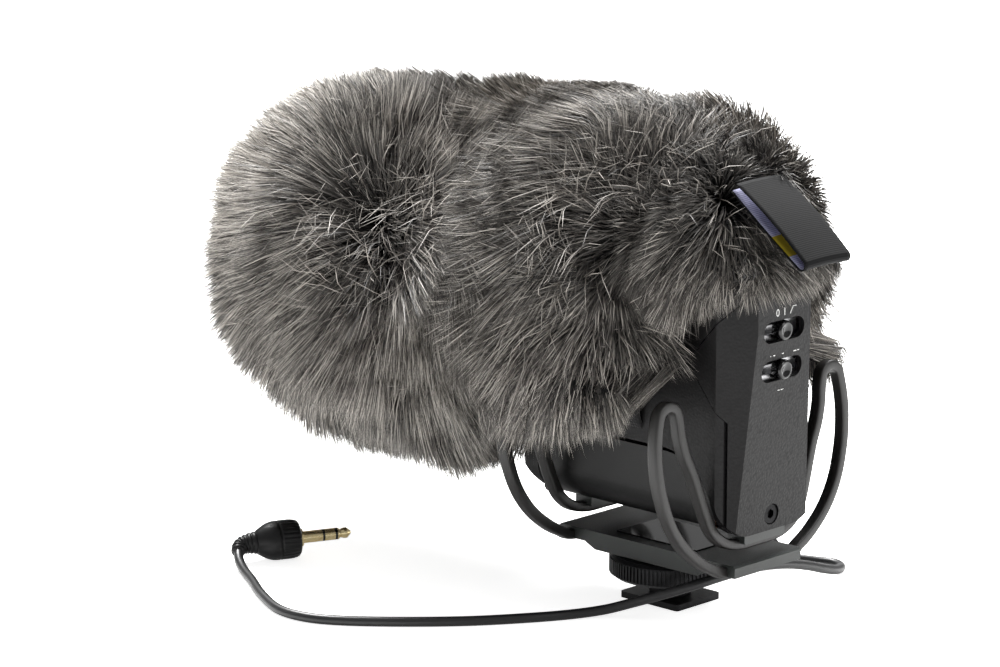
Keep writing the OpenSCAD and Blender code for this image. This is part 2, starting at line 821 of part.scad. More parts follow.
// Rings of points round the line, each square to it, joined into one closed tube whose
// radius goes evenly from r0 to r1
module swept_tube(line, r0, r1, sides) {
    n = len(line);
    rings = [for (i = [0:n - 1])
        let (v = line[min(n - 1, i + 1)] - line[max(0, i - 1)], t = v / norm(v),
             s0 = cross(t, [0, 0, 1]), s = norm(s0) > 0.2 ? s0 / norm(s0) : [1, 0, 0],
             u = cross(s, t), r = r0 + (r1 - r0) * i / (n - 1))
        [for (k = [0:sides - 1]) let (a = 360 * (k + 0.5) / sides)
            line[i] + r * (cos(a) * s + sin(a) * u)]];
    points = [for (ring = rings, p = ring) p];
    walls = [for (i = [0:n - 2], k = [0:sides - 1])
        let (a = i * sides + k, b = i * sides + (k + 1) % sides)
        [a, b, b + sides, a + sides]];
    ends = [[for (k = [sides - 1:-1:0]) k], [for (k = [0:sides - 1]) (n - 1) * sides + k]];
    polyhedron(points, concat(walls, ends), convexity = 10);
}

module cord_lead() {
    color("#222223") swept_tube(cord_line, cord_d / 2, cord_d / 2, cord_sides);
}

module cord_gland() {
    color("#1c1c1d")
    difference() {
        translate([exit_x, exit_y - 0.6, exit_z]) rotate([-90, 0, 0])
            cylinder(r = 3.2, h = gland_l + 0.6 - 0.02);
        belly_side();
    }
}
module belly_side() {
    translate([-big / 2, -big / 2, 0]) cube([big, big / 2 + exit_y, big]);
}

// Places children with X along the plug, the origin where the jack meets the body
module at_plug() {
    translate(plug_at) rotate([0, 0, plug_turn]) rotate([0, -plug_tilt, 0]) children();
}

module plug_body() {
    color("#1b1b1c")
    at_plug()
        rotate([0, -90, 0]) rotate_extrude()
            polygon([[0, 0], [plug_r - 1, 0], [plug_r - 0.2, 1.2], [plug_r, 3], [plug_r, plug_wide],
                     [plug_r - 0.8, plug_l - 2.4], [plug_r - 2.2, plug_l], [0, plug_l]]);
}

// The boot bends from the plug's axis down to the lead's end
module plug_boot() {
    last = cord_points[cord_count - 1];
    dir = [cos(plug_turn) * cos(plug_tilt), sin(plug_turn) * cos(plug_tilt), sin(plug_tilt)];
    from = plug_at - dir * (plug_l + 0.01);
    back = (last - cord_points[cord_count - 2]) / norm(last - cord_points[cord_count - 2]);
    line = [for (t = [0, 0.03, 0.17, 0.33, 0.5, 0.67, 0.83, 0.98, 1])
        pow(1 - t, 3) * from + 3 * t * (1 - t) * (1 - t) * (from - dir * 3.6)
        + 3 * t * t * (1 - t) * (last + back * 3) + pow(t, 3) * (last + back * 0.02)];
    color("#1b1b1c") swept_tube(line, boot_r, 2.2, 16);
}

jack_len = 15.4;
ring_at = [6.8, 10.6];   // where the two insulating rings start, from the body
ring_l = 0.7;

module jack_outline() {
    polygon([[0, 0], [2.6, 0], [2.6, 0.9], [jack_r, 0.9], [jack_r, 11.6], [1.25, 12.3], [1.55, 13.2],
             [1.6, 14.2], [0.5, jack_len], [0, jack_len]]);
}

module jack_contacts() {
    color("#d8b25a")
    at_plug() rotate([0, 90, 0])
        difference() {
            rotate_extrude() jack_outline();
            for (h = ring_at)
                translate([0, 0, h]) difference() {
                    cylinder(r = 3, h = ring_l);
                    translate([0, 0, -1]) cylinder(r = jack_r - 0.6, h = ring_l + 2);
                }
        }
}

module jack_rings() {
    color("#111111")
    at_plug() rotate([0, 90, 0])
        for (h = ring_at)
            translate([0, 0, h]) difference() {
                cylinder(r = jack_r, h = ring_l);
                translate([0, 0, -1]) cylinder(r = jack_r - 0.6, h = ring_l + 2);
            }
}

fur_pile();
fur_backing();
elastic_hem();
label_tag();
foam_windshield();
interference_tube();
tube_nose();
capsule();
capsule_mount();
upper_housing();
rear_cover();
rear_screw();
battery_housing();
battery_door();
door_pin();
battery();
battery_terminals();
snap_connector();
side_spring();
circuit_board();
capacitors();
power_switch_body();
level_switch_body();
power_knob();
level_knob();
front_hoop();
rear_hoop();
front_cradle();
rear_cradle();
base_bar();
base_insert();
base_screw();
shoe_foot();
lock_wheel();
pressure_washer();
cord_gland();
cord_lead();
plug_boot();
plug_body();
jack_contacts();
jack_rings();
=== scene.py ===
import math

import bpy
import numpy as np
from mathutils import Matrix, Vector


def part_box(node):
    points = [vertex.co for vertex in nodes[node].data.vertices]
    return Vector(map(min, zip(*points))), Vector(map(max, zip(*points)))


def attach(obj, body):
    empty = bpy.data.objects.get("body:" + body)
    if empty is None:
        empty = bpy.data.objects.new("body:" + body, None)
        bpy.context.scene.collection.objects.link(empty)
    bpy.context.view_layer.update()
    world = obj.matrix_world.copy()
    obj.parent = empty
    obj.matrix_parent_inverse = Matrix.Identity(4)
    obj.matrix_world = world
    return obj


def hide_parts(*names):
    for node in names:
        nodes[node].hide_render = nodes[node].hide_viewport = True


# A camera microphone in its long-pile fur windscreen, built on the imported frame.
# Shapes are worked out in millimetres and put into their meshes in metres.

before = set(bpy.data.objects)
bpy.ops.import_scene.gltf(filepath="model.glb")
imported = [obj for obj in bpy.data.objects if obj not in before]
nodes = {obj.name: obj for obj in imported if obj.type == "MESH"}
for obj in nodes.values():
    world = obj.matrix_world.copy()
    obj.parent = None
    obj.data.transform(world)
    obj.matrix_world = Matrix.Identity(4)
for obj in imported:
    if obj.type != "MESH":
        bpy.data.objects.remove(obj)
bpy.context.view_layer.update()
mm = 0.001
bpy.ops.object.select_all(action="DESELECT")


# Camera: stands off the target along a direction given by its turn from +Y and its height angle.
view = {
    "turn": 43.8,        # degrees from +Y towards +X, behind the microphone on its near side
    "lift": 13.0,        # degrees above level
    "distance": 1.183,
    "target": (-0.0417, -0.0259, 0.0742),
    "lens": 151.6,
}


def makeCamera():
    # its axes are the way back from the target, the level way right, and their cross product
    turn = math.radians(view["turn"])
    lift = math.radians(view["lift"])
    level = math.cos(lift)
    back = Vector((math.sin(turn) * level, -math.cos(turn) * level, math.sin(lift)))
    right = Vector((math.cos(turn), math.sin(turn), 0))
    up = back.cross(right)
    place = Vector(view["target"]) + back * view["distance"]
    data = bpy.data.cameras.new("viewCamera")
    data.lens = view["lens"]
    data.sensor_width = 36
    data.clip_start = 0.01
    data.clip_end = 20
    camera = bpy.data.objects.new("viewCamera", data)
    camera.matrix_world = Matrix((right, up, back)).transposed().to_4x4()
    camera.location = place
    bpy.context.scene.collection.objects.link(camera)
    bpy.context.scene.camera = camera


makeCamera()
print("camera in place")


# Tools that the pieces below share


def unit(v):
    # each vector divided by its own length
    return v / np.maximum(np.linalg.norm(v, axis=-1, keepdims=True), 1e-9)


def smooth(t):
    # 0 below 0, 1 above 1, and 3t^2 - 2t^3 between
    t = np.clip(t, 0, 1)
    return t * t * (3 - 2 * t)


def meshFrom(name, points, quads, tris=None, uv=None):
    # points in mm; quads and tris are whole index arrays; uv holds a pair for each point
    mesh = bpy.data.meshes.new(name)
    quads = np.asarray(quads, np.int32).reshape(-1, 4)
    tris = np.asarray([] if tris is None else tris, np.int32).reshape(-1, 3)
    corners = np.concatenate([quads.ravel(), tris.ravel()])
    starts = np.append(np.arange(len(quads)) * 4, len(quads) * 4 + np.arange(len(tris)) * 3)
    mesh.vertices.add(len(points))
    mesh.vertices.foreach_set("co", (np.asarray(points) * mm).astype(np.float32).ravel())
    mesh.loops.add(len(corners))
    mesh.loops.foreach_set("vertex_index", corners.astype(np.int32))
    mesh.polygons.add(len(starts))
    mesh.polygons.foreach_set("loop_start", starts.astype(np.int32))
    mesh.polygons.foreach_set("use_smooth", np.full(len(starts), True))
    if uv is not None:
        layer = mesh.uv_layers.new(name="OFBake")
        layer.data.foreach_set("uv", np.asarray(uv, np.float32)[corners].ravel())
    mesh.update(calc_edges=True)
    mesh.validate()
    made = bpy.data.objects.new(name, mesh)
    bpy.context.scene.collection.objects.link(made)
    return made


def gridFaces(rows, columns, closeRows=False, closeColumns=False):
    # quads between neighbouring points of a grid; a closed way joins its last line to its first
    i = np.arange(rows if closeRows else rows - 1)[:, None]
    j = np.arange(columns if closeColumns else columns - 1)[None, :]
    a = i * columns + j
    b = i * columns + (j + 1) % columns
    c = ((i + 1) % rows) * columns + (j + 1) % columns
    d = ((i + 1) % rows) * columns + j
    return np.stack([a, b, c, d], -1).reshape(-1, 4)


def endCaps(rows, sides):
    # fans that close a grid's first and last ring on two middle points, which follow the grid's own
    k = np.arange(sides)
    after = (k + 1) % sides
    last = (rows - 1) * sides
    low = np.stack([np.full(sides, rows * sides), after, k], -1)
    high = np.stack([np.full(sides, rows * sides + 1), last + k, last + after], -1)
    return np.vstack([low, high])


def splinePoints(points, steps, closed=False):
    # Catmull-Rom: each span is a cubic through its ends, aimed along its neighbours' chord
    p = np.asarray(points, float)
    if closed:
        a, b, c, d = np.roll(p, 1, 0), p, np.roll(p, -1, 0), np.roll(p, -2, 0)
    else:
        padded = np.vstack([2 * p[0] - p[1], p, 2 * p[-1] - p[-2]])
        a, b, c, d = padded[:-3], padded[1:-2], padded[2:-1], padded[3:]
    t = (np.arange(steps) / steps)[None, :, None]
    a, b, c, d = a[:, None], b[:, None], c[:, None], d[:, None]
    square = (2 * a - 5 * b + 4 * c - d) * t ** 2
    cube = (3 * b - a - 3 * c + d) * t ** 3
    out = 0.5 * (2 * b + (c - a) * t + square + cube)
    out = out.reshape(-1, p.shape[1])
    return out if closed else np.vstack([out, p[-1]])


def lengthAlong(path):
    # how far each point lies along the path: the sum of the straight steps before it
    return np.append(0, np.cumsum(np.linalg.norm(np.diff(path, axis=0), axis=1)))


def ringFrame(path):
    # unit tangent of a path, and two unit directions square to it, the first of them level
    tangent = unit(np.gradient(path, axis=0))
    side = np.cross(tangent, [0, 0, 1.0])
    upright = np.linalg.norm(side, axis=1, keepdims=True) < 0.05
    side = unit(np.where(upright, [1.0, 0, 0], side))
    return tangent, side, np.cross(side, tangent)


def tubeMesh(name, path, radius, sides):
    # a circle of the given radius at each point of the path, square to it; u runs round, v along
    _, side, lift = ringFrame(path)
    angle = np.arange(sides) * 2 * np.pi / sides
    radius = np.broadcast_to(radius, (len(path),))[:, None, None]
    ring = np.cos(angle)[:, None] * side[:, None] + np.sin(angle)[:, None] * lift[:, None]
    points = (path[:, None] + radius * ring).reshape(-1, 3)
    along = lengthAlong(path)
    uv = np.stack(np.broadcast_arrays(angle[None] / 6.2832, (along / along[-1])[:, None]), -1)
    points = np.vstack([points, path[0], path[-1]])
    uv = np.vstack([uv.reshape(-1, 2), [0.5, 0], [0.5, 1]])
    quads = gridFaces(len(path), sides, closeColumns=True)
    return meshFrom(name, points, quads, endCaps(len(path), sides), uv), along[-1]


def turned(name, profile, place, axis, sides=64):
    # a profile of (distance along the axis, radius) turned round the axis
    profile = np.asarray(profile, float)
    axis = unit(np.asarray(axis, float))
    side = unit(np.cross(axis, [0, 0, 1.0]))
    lift = np.cross(side, axis)
    angle = np.arange(sides) * 2 * np.pi / sides
    ring = np.cos(angle)[:, None] * side + np.sin(angle)[:, None] * lift
    points = np.asarray(place) + profile[:, None, :1] * axis + profile[:, None, 1:] * ring[None]
    uv = np.stack(np.broadcast_arrays(angle[None] / 6.2832, (profile[:, :1] - profile[0, 0]) / 20), -1)
    quads = gridFaces(len(profile), sides, closeColumns=True)
    return meshFrom(name, points.reshape(-1, 3), quads, uv=uv.reshape(-1, 2))


def faceOut(made):
    # merges doubles and turns every face of a closed shape outwards
    bpy.context.view_layer.objects.active = made
    made.select_set(True)
    bpy.ops.object.mode_set(mode="EDIT")
    bpy.ops.mesh.select_all(action="SELECT")
    bpy.ops.mesh.remove_doubles(threshold=1e-6)
    bpy.ops.mesh.normals_make_consistent(inside=False)
    bpy.ops.object.mode_set(mode="OBJECT")
    made.select_set(False)
    return made


def linear(code):
    # an sRGB hex colour as the linear values that shaders take
    parts = [int(code[i:i + 2], 16) / 255 for i in (1, 3, 5)]
    return [p / 12.92 if p <= 0.04045 else ((p + 0.055) / 1.055) ** 2.4 for p in parts] + [1.0]


def addNode(tree, kind, values=None, links=None):
    # one shader node: values go to inputs or properties of that name, links to inputs
    made = tree.nodes.new(kind)
    for name, value in (values or {}).items():
        if name in made.inputs:
            made.inputs[name].default_value = value
        else:
            setattr(made, name, value)
    for name, source in (links or {}).items():
        tree.links.new(source, made.inputs[name])
    return made


def startMaterial(name, **values):
    # a Principled material of this name, with its shader's own values set
    material = bpy.data.materials.new(name)
    material.use_nodes = True
    tree = material.node_tree
    tree.nodes.clear()
    shader = addNode(tree, "ShaderNodeBsdfPrincipled", values)
    addNode(tree, "ShaderNodeOutputMaterial", links={"Surface": shader.outputs[0]})
    return material, tree, shader


def rampOf(tree, source, stops):
    # a colour ramp with (place, hex colour) stops
    made = addNode(tree, "ShaderNodeValToRGB", links={"Fac": source})
    ramp = made.color_ramp
    for i, (place, code) in enumerate(stops):
        element = ramp.elements[i] if i < 2 else ramp.elements.new(place)
        element.position = place
        element.color = linear(code)
    return made.outputs["Color"]


# Materials, each named for what the real one is and how it was made


def grainMaterial(name, dark, light, roughness, grain, depth, spread=0.08, gloss=0.5):
    # A moulded or cast surface: colour varies a little over centimetres, bumps are grain mm across
    material, tree, shader = startMaterial(name)
    shader.inputs["Specular IOR Level"].default_value = gloss
    place = addNode(tree, "ShaderNodeTexCoord").outputs["Object"]
    cloud = addNode(tree, "ShaderNodeTexNoise", {"Scale": 55.0, "Detail": 3.0}, {"Vector": place})
    colour = rampOf(tree, cloud.outputs["Fac"], [(0.3, dark), (0.7, light)])
    tree.links.new(colour, shader.inputs["Base Color"])
    fine = addNode(tree, "ShaderNodeTexNoise", {"Scale": 1000.0 / grain, "Detail": 2.0}, {"Vector": place})
    limits = {"To Min": roughness - spread, "To Max": roughness + spread}
    rough = addNode(tree, "ShaderNodeMapRange", limits, {"Value": fine.outputs["Fac"]})
    tree.links.new(rough.outputs["Result"], shader.inputs["Roughness"])
    bump = addNode(tree, "ShaderNodeBump", {"Strength": 1.0, "Distance": depth * mm},
                   {"Height": fine.outputs["Fac"]})
    tree.links.new(bump.outputs["Normal"], shader.inputs["Normal"])
    return material


def leatherGrainAbs():
    # Moulded ABS with an etched leather grain: cells about 0.7 mm across catch the light on their rims
    material, tree, shader = startMaterial("leatherGrainAbs")
    place = addNode(tree, "ShaderNodeTexCoord").outputs["Object"]
    cells = addNode(tree, "ShaderNodeTexVoronoi", {"feature": "SMOOTH_F1", "Scale": 1450.0},
                    {"Vector": place})
    cloud = addNode(tree, "ShaderNodeTexNoise", {"Scale": 60.0, "Detail": 3.0}, {"Vector": place})
    colour = rampOf(tree, cloud.outputs["Fac"], [(0.3, "#0c0b0c"), (0.7, "#121112")])
    tree.links.new(colour, shader.inputs["Base Color"])
    shader.inputs["Specular IOR Level"].default_value = 0.22
    rough = addNode(tree, "ShaderNodeMapRange", {"To Min": 0.36, "To Max": 0.6},
                    {"Value": cells.outputs["Distance"]})
    tree.links.new(rough.outputs["Result"], shader.inputs["Roughness"])
    bump = addNode(tree, "ShaderNodeBump", {"Strength": 0.8, "Distance": 0.09 * mm, "invert": True},
                   {"Height": cells.outputs["Distance"]})
    tree.links.new(bump.outputs["Normal"], shader.inputs["Normal"])
    return material


def goldPlate():
    # Gold flash over turned brass: colour and gloss vary a little over about 1 mm
    material, tree, shader = startMaterial("goldPlatedBrass", Metallic=1.0)
    place = addNode(tree, "ShaderNodeTexCoord").outputs["Object"]
    cloud = addNode(tree, "ShaderNodeTexNoise", {"Scale": 900.0, "Detail": 3.0}, {"Vector": place})
    colour = rampOf(tree, cloud.outputs["Fac"], [(0.3, "#d8c08a"), (0.7, "#efe0b4")])
    tree.links.new(colour, shader.inputs["Base Color"])
    rough = addNode(tree, "ShaderNodeMapRange", {"To Min": 0.14, "To Max": 0.3},
                    {"Value": cloud.outputs["Fac"]})
    tree.links.new(rough.outputs["Result"], shader.inputs["Roughness"])
    return material


def metalMaterial(name, dark, light, roughness, metallic=1.0):
    # Worked metal: brushing lines about 0.15 mm apart, running square to Z
    material, tree, shader = startMaterial(name, Metallic=metallic)
    place = addNode(tree, "ShaderNodeTexCoord").outputs["Object"]
    drawn = addNode(tree, "ShaderNodeMapping", {"Scale": (1.0, 1.0, 12.0)}, {"Vector": place})
    lines = addNode(tree, "ShaderNodeTexNoise", {"Scale": 600.0, "Detail": 3.0},
                    {"Vector": drawn.outputs["Vector"]})
    colour = rampOf(tree, lines.outputs["Fac"], [(0.3, dark), (0.7, light)])
    tree.links.new(colour, shader.inputs["Base Color"])
    limits = {"To Min": roughness - 0.06, "To Max": roughness + 0.08}
    rough = addNode(tree, "ShaderNodeMapRange", limits, {"Value": lines.outputs["Fac"]})
    tree.links.new(rough.outputs["Result"], shader.inputs["Roughness"])
    return material


def knitMaterial(name, dark, light, pitch):
    # Knitted polyester: loops one pitch apart along and across, as rounded bumps
    material, tree, shader = startMaterial(name, Roughness=0.9)
    shader.inputs["Sheen Weight"].default_value = 0.25
    shader.inputs["Sheen Roughness"].default_value = 0.4
    place = addNode(tree, "ShaderNodeTexCoord").outputs["Object"]
    loops = addNode(tree, "ShaderNodeTexVoronoi", {"Scale": 1000.0 / pitch, "Randomness": 0.35},
                    {"Vector": place})
    colour = rampOf(tree, loops.outputs["Distance"], [(0.1, light), (0.7, dark)])
    tree.links.new(colour, shader.inputs["Base Color"])
    bump = addNode(tree, "ShaderNodeBump", {"Strength": 0.9, "Distance": 0.25 * mm, "invert": True},
                   {"Height": loops.outputs["Distance"]})
    tree.links.new(bump.outputs["Normal"], shader.inputs["Normal"])
    return material


def ribbonMaterial(name, dark, light, band=None):
    # Woven ribbon: weft ribs run across it, drawn 0.6 mm apart so that they show; u is across, v along.
    # A band is (from, to, hex colour), both ends in v
    material, tree, shader = startMaterial(name, Roughness=0.7)
    shader.inputs["Specular IOR Level"].default_value = 0.12
    spot = addNode(tree, "ShaderNodeUVMap", {"uv_map": "OFBake"}).outputs["UV"]
    ribs = addNode(tree, "ShaderNodeTexWave", {"bands_direction": "Y", "Scale": 32.0, "Distortion": 0.6},
                   {"Vector": spot})
    colour = rampOf(tree, ribs.outputs["Fac"], [(0.2, dark), (0.8, light)])
    if band:
        parts = addNode(tree, "ShaderNodeSeparateXYZ", links={"Vector": spot})
        after = addNode(tree, "ShaderNodeMath", {"operation": "GREATER_THAN"}, {0: parts.outputs["Y"]})
        after.inputs[1].default_value = band[0]
        before = addNode(tree, "ShaderNodeMath", {"operation": "LESS_THAN"}, {0: parts.outputs["Y"]})
        before.inputs[1].default_value = band[1]
        both = addNode(tree, "ShaderNodeMath", {"operation": "MULTIPLY"},
                       {0: after.outputs[0], 1: before.outputs[0]})
        mixed = addNode(tree, "ShaderNodeMix", {"data_type": "RGBA"}, {0: both.outputs[0], 6: colour})
        mixed.inputs[7].default_value = linear(band[2])
        colour = mixed.outputs[2]
    tree.links.new(colour, shader.inputs["Base Color"])
    bump = addNode(tree, "ShaderNodeBump", {"Strength": 0.5, "Distance": 0.05 * mm},
                   {"Height": ribs.outputs["Fac"]})
    tree.links.new(bump.outputs["Normal"], shader.inputs["Normal"])
    return material


def pileFibre():
    # Modacrylic pile: charcoal at the root, grey-beige towards the tip; u is how pale a fibre is (with
    # painted light and shade in it, set in makeFur), v runs along it
    material, tree, shader = startMaterial("modacrylicPile", Roughness=0.5)
    shader.inputs["Specular IOR Level"].default_value = 0.35
    spot = addNode(tree, "ShaderNodeUVMap", {"uv_map": "OFBake"}).outputs["UV"]
    parts = addNode(tree, "ShaderNodeSeparateXYZ", links={"Vector": spot})
    darkHair = rampOf(tree, parts.outputs["Y"],
                      [(0.0, "#020202"), (0.5, "#0b0b0b"), (0.82, "#1b1a19"), (1.0, "#2c2a28")])
    paleHair = rampOf(tree, parts.outputs["Y"],
                      [(0.0, "#040404"), (0.42, "#171616"), (0.7, "#8f8881"), (1.0, "#fbf4ea")])
    both = addNode(tree, "ShaderNodeMix", {"data_type": "RGBA"},
                   {0: parts.outputs["X"], 6: darkHair, 7: paleHair})
    tree.links.new(both.outputs[2], shader.inputs["Base Color"])
    return material


def underPile():
    # The dense lower half of the pile, seen only as dark between the locks
    material, tree, shader = startMaterial("underPileFleece", Roughness=1.0)
    shader.inputs["Specular IOR Level"].default_value = 0.1
    place = addNode(tree, "ShaderNodeTexCoord").outputs["Object"]
    tufts = addNode(tree, "ShaderNodeTexNoise", {"Scale": 700.0, "Detail": 4.0}, {"Vector": place})
    colour = rampOf(tree, tufts.outputs["Fac"], [(0.35, "#080809"), (0.7, "#1b1a1a")])
    tree.links.new(colour, shader.inputs["Base Color"])
    bump = addNode(tree, "ShaderNodeBump", {"Strength": 1.0, "Distance": 0.8 * mm},
                   {"Height": tufts.outputs["Fac"]})
    tree.links.new(bump.outputs["Normal"], shader.inputs["Normal"])
    return material


materials = {
    "housing": grainMaterial("mouldedAbs", "#090909", "#0d0d0e", 0.45, 0.35, 0.015, gloss=0.3),
    "hoop": grainMaterial("mouldedElastomer", "#151413", "#1c1a19", 0.42, 0.5, 0.02),
    "bar": grainMaterial("glassFilledNylon", "#212423", "#2c302e", 0.4, 0.3, 0.02),
    "gloss": grainMaterial("polishedAcetal", "#060607", "#0a0a0b", 0.12, 0.8, 0.0, 0.03),
    "textured": leatherGrainAbs(),
    "lead": grainMaterial("flexiblePvcJacket", "#1c1c1d", "#252526", 0.4, 0.4, 0.01),
    "anodised": metalMaterial("blackAnodisedAluminium", "#1c1c1d", "#29292b", 0.4, 0.6),
    "rubber": grainMaterial("softPvc", "#0c0c0d", "#131314", 0.4, 0.25, 0.015, gloss=0.35),
    "gold": goldPlate(),
    "steel": metalMaterial("brushedSteel", "#8d8d8f", "#b9b9bb", 0.28),
    "blackened": metalMaterial("blackOxideSteel", "#121213", "#1f1f20", 0.35),
    "spring": metalMaterial("phosphorBronze", "#a67762", "#c89b86", 0.22),
    "board": grainMaterial("solderMaskedBoard", "#0d3a20", "#14502d", 0.35, 1.2, 0.02),
    "can": metalMaterial("sleevedAluminiumCan", "#1b2a52", "#22366a", 0.35, 0.4),
    "battery": metalMaterial("printedTinplate", "#3f3a24", "#57502f", 0.35, 0.6),
    "capsule": metalMaterial("nickelledBrass", "#a9a08a", "#cbc2a8", 0.3),
    "knit": knitMaterial("warpKnitBacking", "#0d0d0e", "#202021", 0.9),
    "foam": grainMaterial("openCellFoam", "#0d0d0e", "#1c1c1d", 0.95, 0.9, 0.5),
    "pile": pileFibre(),
    "webbing": ribbonMaterial("satinRibbon", "#070708", "#0f0f10"),
    "lining": ribbonMaterial("ribbonLining", "#77778f", "#9a9ab4", (0.60, 0.72, "#8a7a1c")),
    "print": grainMaterial("padPrintInk", "#c9c9c7", "#dededc", 0.5, 0.3, 0.0),
    "under": underPile(),
}
nodeFinish = {
    "upper_housing": "textured", "battery_housing": "housing", "battery_door": "housing",
    "rear_cover": "textured", "rear_screw": "blackened", "door_pin": "steel", "battery": "battery",
    "battery_terminals": "steel", "snap_connector": "rubber", "side_spring": "spring",
    "circuit_board": "board", "capacitors": "can", "power_switch_body": "steel",
    "level_switch_body": "steel", "power_knob": "gloss", "level_knob": "gloss", "front_hoop": "hoop",
    "rear_hoop": "hoop", "front_cradle": "bar", "rear_cradle": "bar", "base_bar": "bar",
    "base_insert": "gloss", "base_screw": "steel", "shoe_foot": "anodised", "lock_wheel": "anodised",
    "pressure_washer": "rubber", "cord_gland": "rubber", "cord_lead": "rubber", "plug_boot": "rubber",
    "plug_body": "rubber", "jack_contacts": "gold", "jack_rings": "gloss",
    "interference_tube": "housing", "tube_nose": "housing", "capsule": "capsule",
    "capsule_mount": "rubber", "foam_windshield": "foam", "fur_pile": "under", "fur_backing": "knit",
    "elastic_hem": "knit", "label_tag": "knit",
}


def dress(made, finish):
    # one finish on a piece, in place of any that it had
    made.data.materials.clear()
    made.data.materials.append(materials[finish])


for nodeName, finish in nodeFinish.items():
    dress(nodes[nodeName], finish)
print("materials on", len(nodeFinish), "nodes")


# The lead's centre line, by the same points as the frame's, in metres
lead = {
    "diameter": 0.0028,
    "length": 0.308,
    "points": [
        (-0.006, 0.0215, 0.036), (-0.006, 0.026, 0.0355), (-0.0056, 0.031, 0.033), (-0.0046, 0.0355, 0.028),
        (-0.0032, 0.039, 0.021), (-0.0016, 0.042, 0.013), (0.0006, 0.0455, 0.006), (0.004, 0.0495, 0.0024),
        (0.009, 0.0535, 0.0014), (0.014, 0.0555, 0.0014), (0.0184, 0.0535, 0.0015), (0.0206, 0.0485, 0.0022),
        (0.0216, 0.042, 0.004), (0.0222, 0.033, 0.007), (0.0228, 0.022, 0.0098), (0.0234, 0.01, 0.0116),
        (0.0234, -0.002, 0.012), (0.0214, -0.013, 0.011), (0.0154, -0.0198, 0.0084), (0.007, -0.0235, 0.005),
        (0.0, -0.0275, 0.0024), (-0.006, -0.035, 0.0014), (-0.0125, -0.046, 0.0014), (-0.022, -0.059, 0.0014),
        (-0.034, -0.0715, 0.0014), (-0.047, -0.0825, 0.0014), (-0.057, -0.0875, 0.0014),
        (-0.068, -0.0875, 0.0014), (-0.082, -0.081, 0.0014), (-0.094, -0.0735, 0.0014),
        (-0.103, -0.0683, 0.0016), (-0.109, -0.0646, 0.0026), (-0.1126, -0.0616, 0.004),
    ],
}


def makeLead():
    # a round section carried along a spline through the points
    path = splinePoints(np.array(lead["points"]) / mm, 8)
    cord, length = tubeMesh("lead", path, lead["diameter"] / mm / 2, 20)
    print("lead length", round(length, 1), "mm")
    dress(cord, "lead")
    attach(cord, "microphone")
    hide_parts("cord_lead")
    return cord, path


cord, cordPath = makeLead()


plug = {
    "place": (-105.0, -44.5, 6.075),   # where the jack meets the body, in mm
    "turn": 60.0,         # the jack's way, in degrees from +X towards +Y
    "tilt": 2.0,          # and above level
    "radius": 5.8,
    "length": 13.0,
    "flutes": 26,
    "fluteDeep": 0.22,
    "bootRadius": 3.4,
    "bootEnd": 2.05,      # its radius at the lead
    "ribs": 7,
    "ribHigh": 0.35,
    # (distance back from the jack, drop below the radius): a round end, a groove where the halves
    # meet, and a rounded rear
    "outline": [(0.0, 1.5), (0.15, 1.05), (0.5, 0.6), (1.2, 0.25), (2.2, 0.08), (3.0, 0), (4.0, 0), (5.4, 0),
                (5.9, 0), (6.0, 0.4), (6.3, 0.4), (6.4, 0), (6.9, 0), (8.2, 0.1), (9.6, 0.5), (10.8, 1.1),
                (11.8, 1.7), (12.6, 2.2), (13.0, 2.6)],
}


def makePlug():
    turn = math.radians(plug["turn"])
    tilt = math.radians(plug["tilt"])
    ahead = np.array([math.cos(turn) * math.cos(tilt), math.sin(turn) * math.cos(tilt), math.sin(tilt)])
    place = np.array(plug["place"])
    # body: the outline turned about the jack's line, with flutes as small waves round its front half
    drop = np.array(plug["outline"])
    back = np.concatenate([[0], drop[:, 0], [plug["length"]]])
    out = np.concatenate([[0], plug["radius"] - drop[:, 1], [0]])
    sides = 8 * plug["flutes"]
    angle = np.arange(sides) * 2 * np.pi / sides
    fluted = smooth((back - 0.6) / 0.8) * (1 - smooth((back - 5.2) / 0.5))
    wave = 0.5 - 0.5 * np.abs(np.cos(angle * plug["flutes"] / 2))
    radius = out[:, None] - plug["fluteDeep"] * fluted[:, None] * wave[None] * 2
    side = unit(np.cross(ahead, [0, 0, 1.0]))
    lift = np.cross(side, ahead)
    ring = np.cos(angle)[:, None] * side + np.sin(angle)[:, None] * lift
    points = place - back[:, None, None] * ahead + radius[..., None] * ring[None]
    quads = gridFaces(len(back), sides, closeColumns=True)
    body = faceOut(meshFrom("plugBody", points.reshape(-1, 3), quads))
    dress(body, "rubber")
    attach(body, "microphone")
    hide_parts("plug_body")
    # boot: a cubic from the body's rear to the lead, tapering, with ribs that stand up as it bends
    ends = np.array(lead["points"][-2:]) / mm
    lay = unit(ends[1] - ends[0])
    first = place - ahead * (plug["length"] - 0.3)
    t = np.linspace(0, 1, 90)[:, None]
    line = ((1 - t) ** 3 * first + 3 * t * (1 - t) ** 2 * (first - ahead * 3.6)
            + 3 * t * t * (1 - t) * (ends[1] + lay * 3) + t ** 3 * (ends[1] - lay * 0.6))
    taper = plug["bootRadius"] + (plug["bootEnd"] - plug["bootRadius"]) * t[:, 0]
    rib = np.abs(np.sin(np.pi * plug["ribs"] * t[:, 0])) ** 0.6
    boot, _ = tubeMesh("plugBoot", line, taper - plug["ribHigh"] * (1 - rib), 40)
    faceOut(boot)
    dress(boot, "rubber")
    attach(boot, "microphone")
    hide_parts("plug_boot")
    return body, boot


plugBody, plugBoot = makePlug()
print("plug made")
print("lead made")


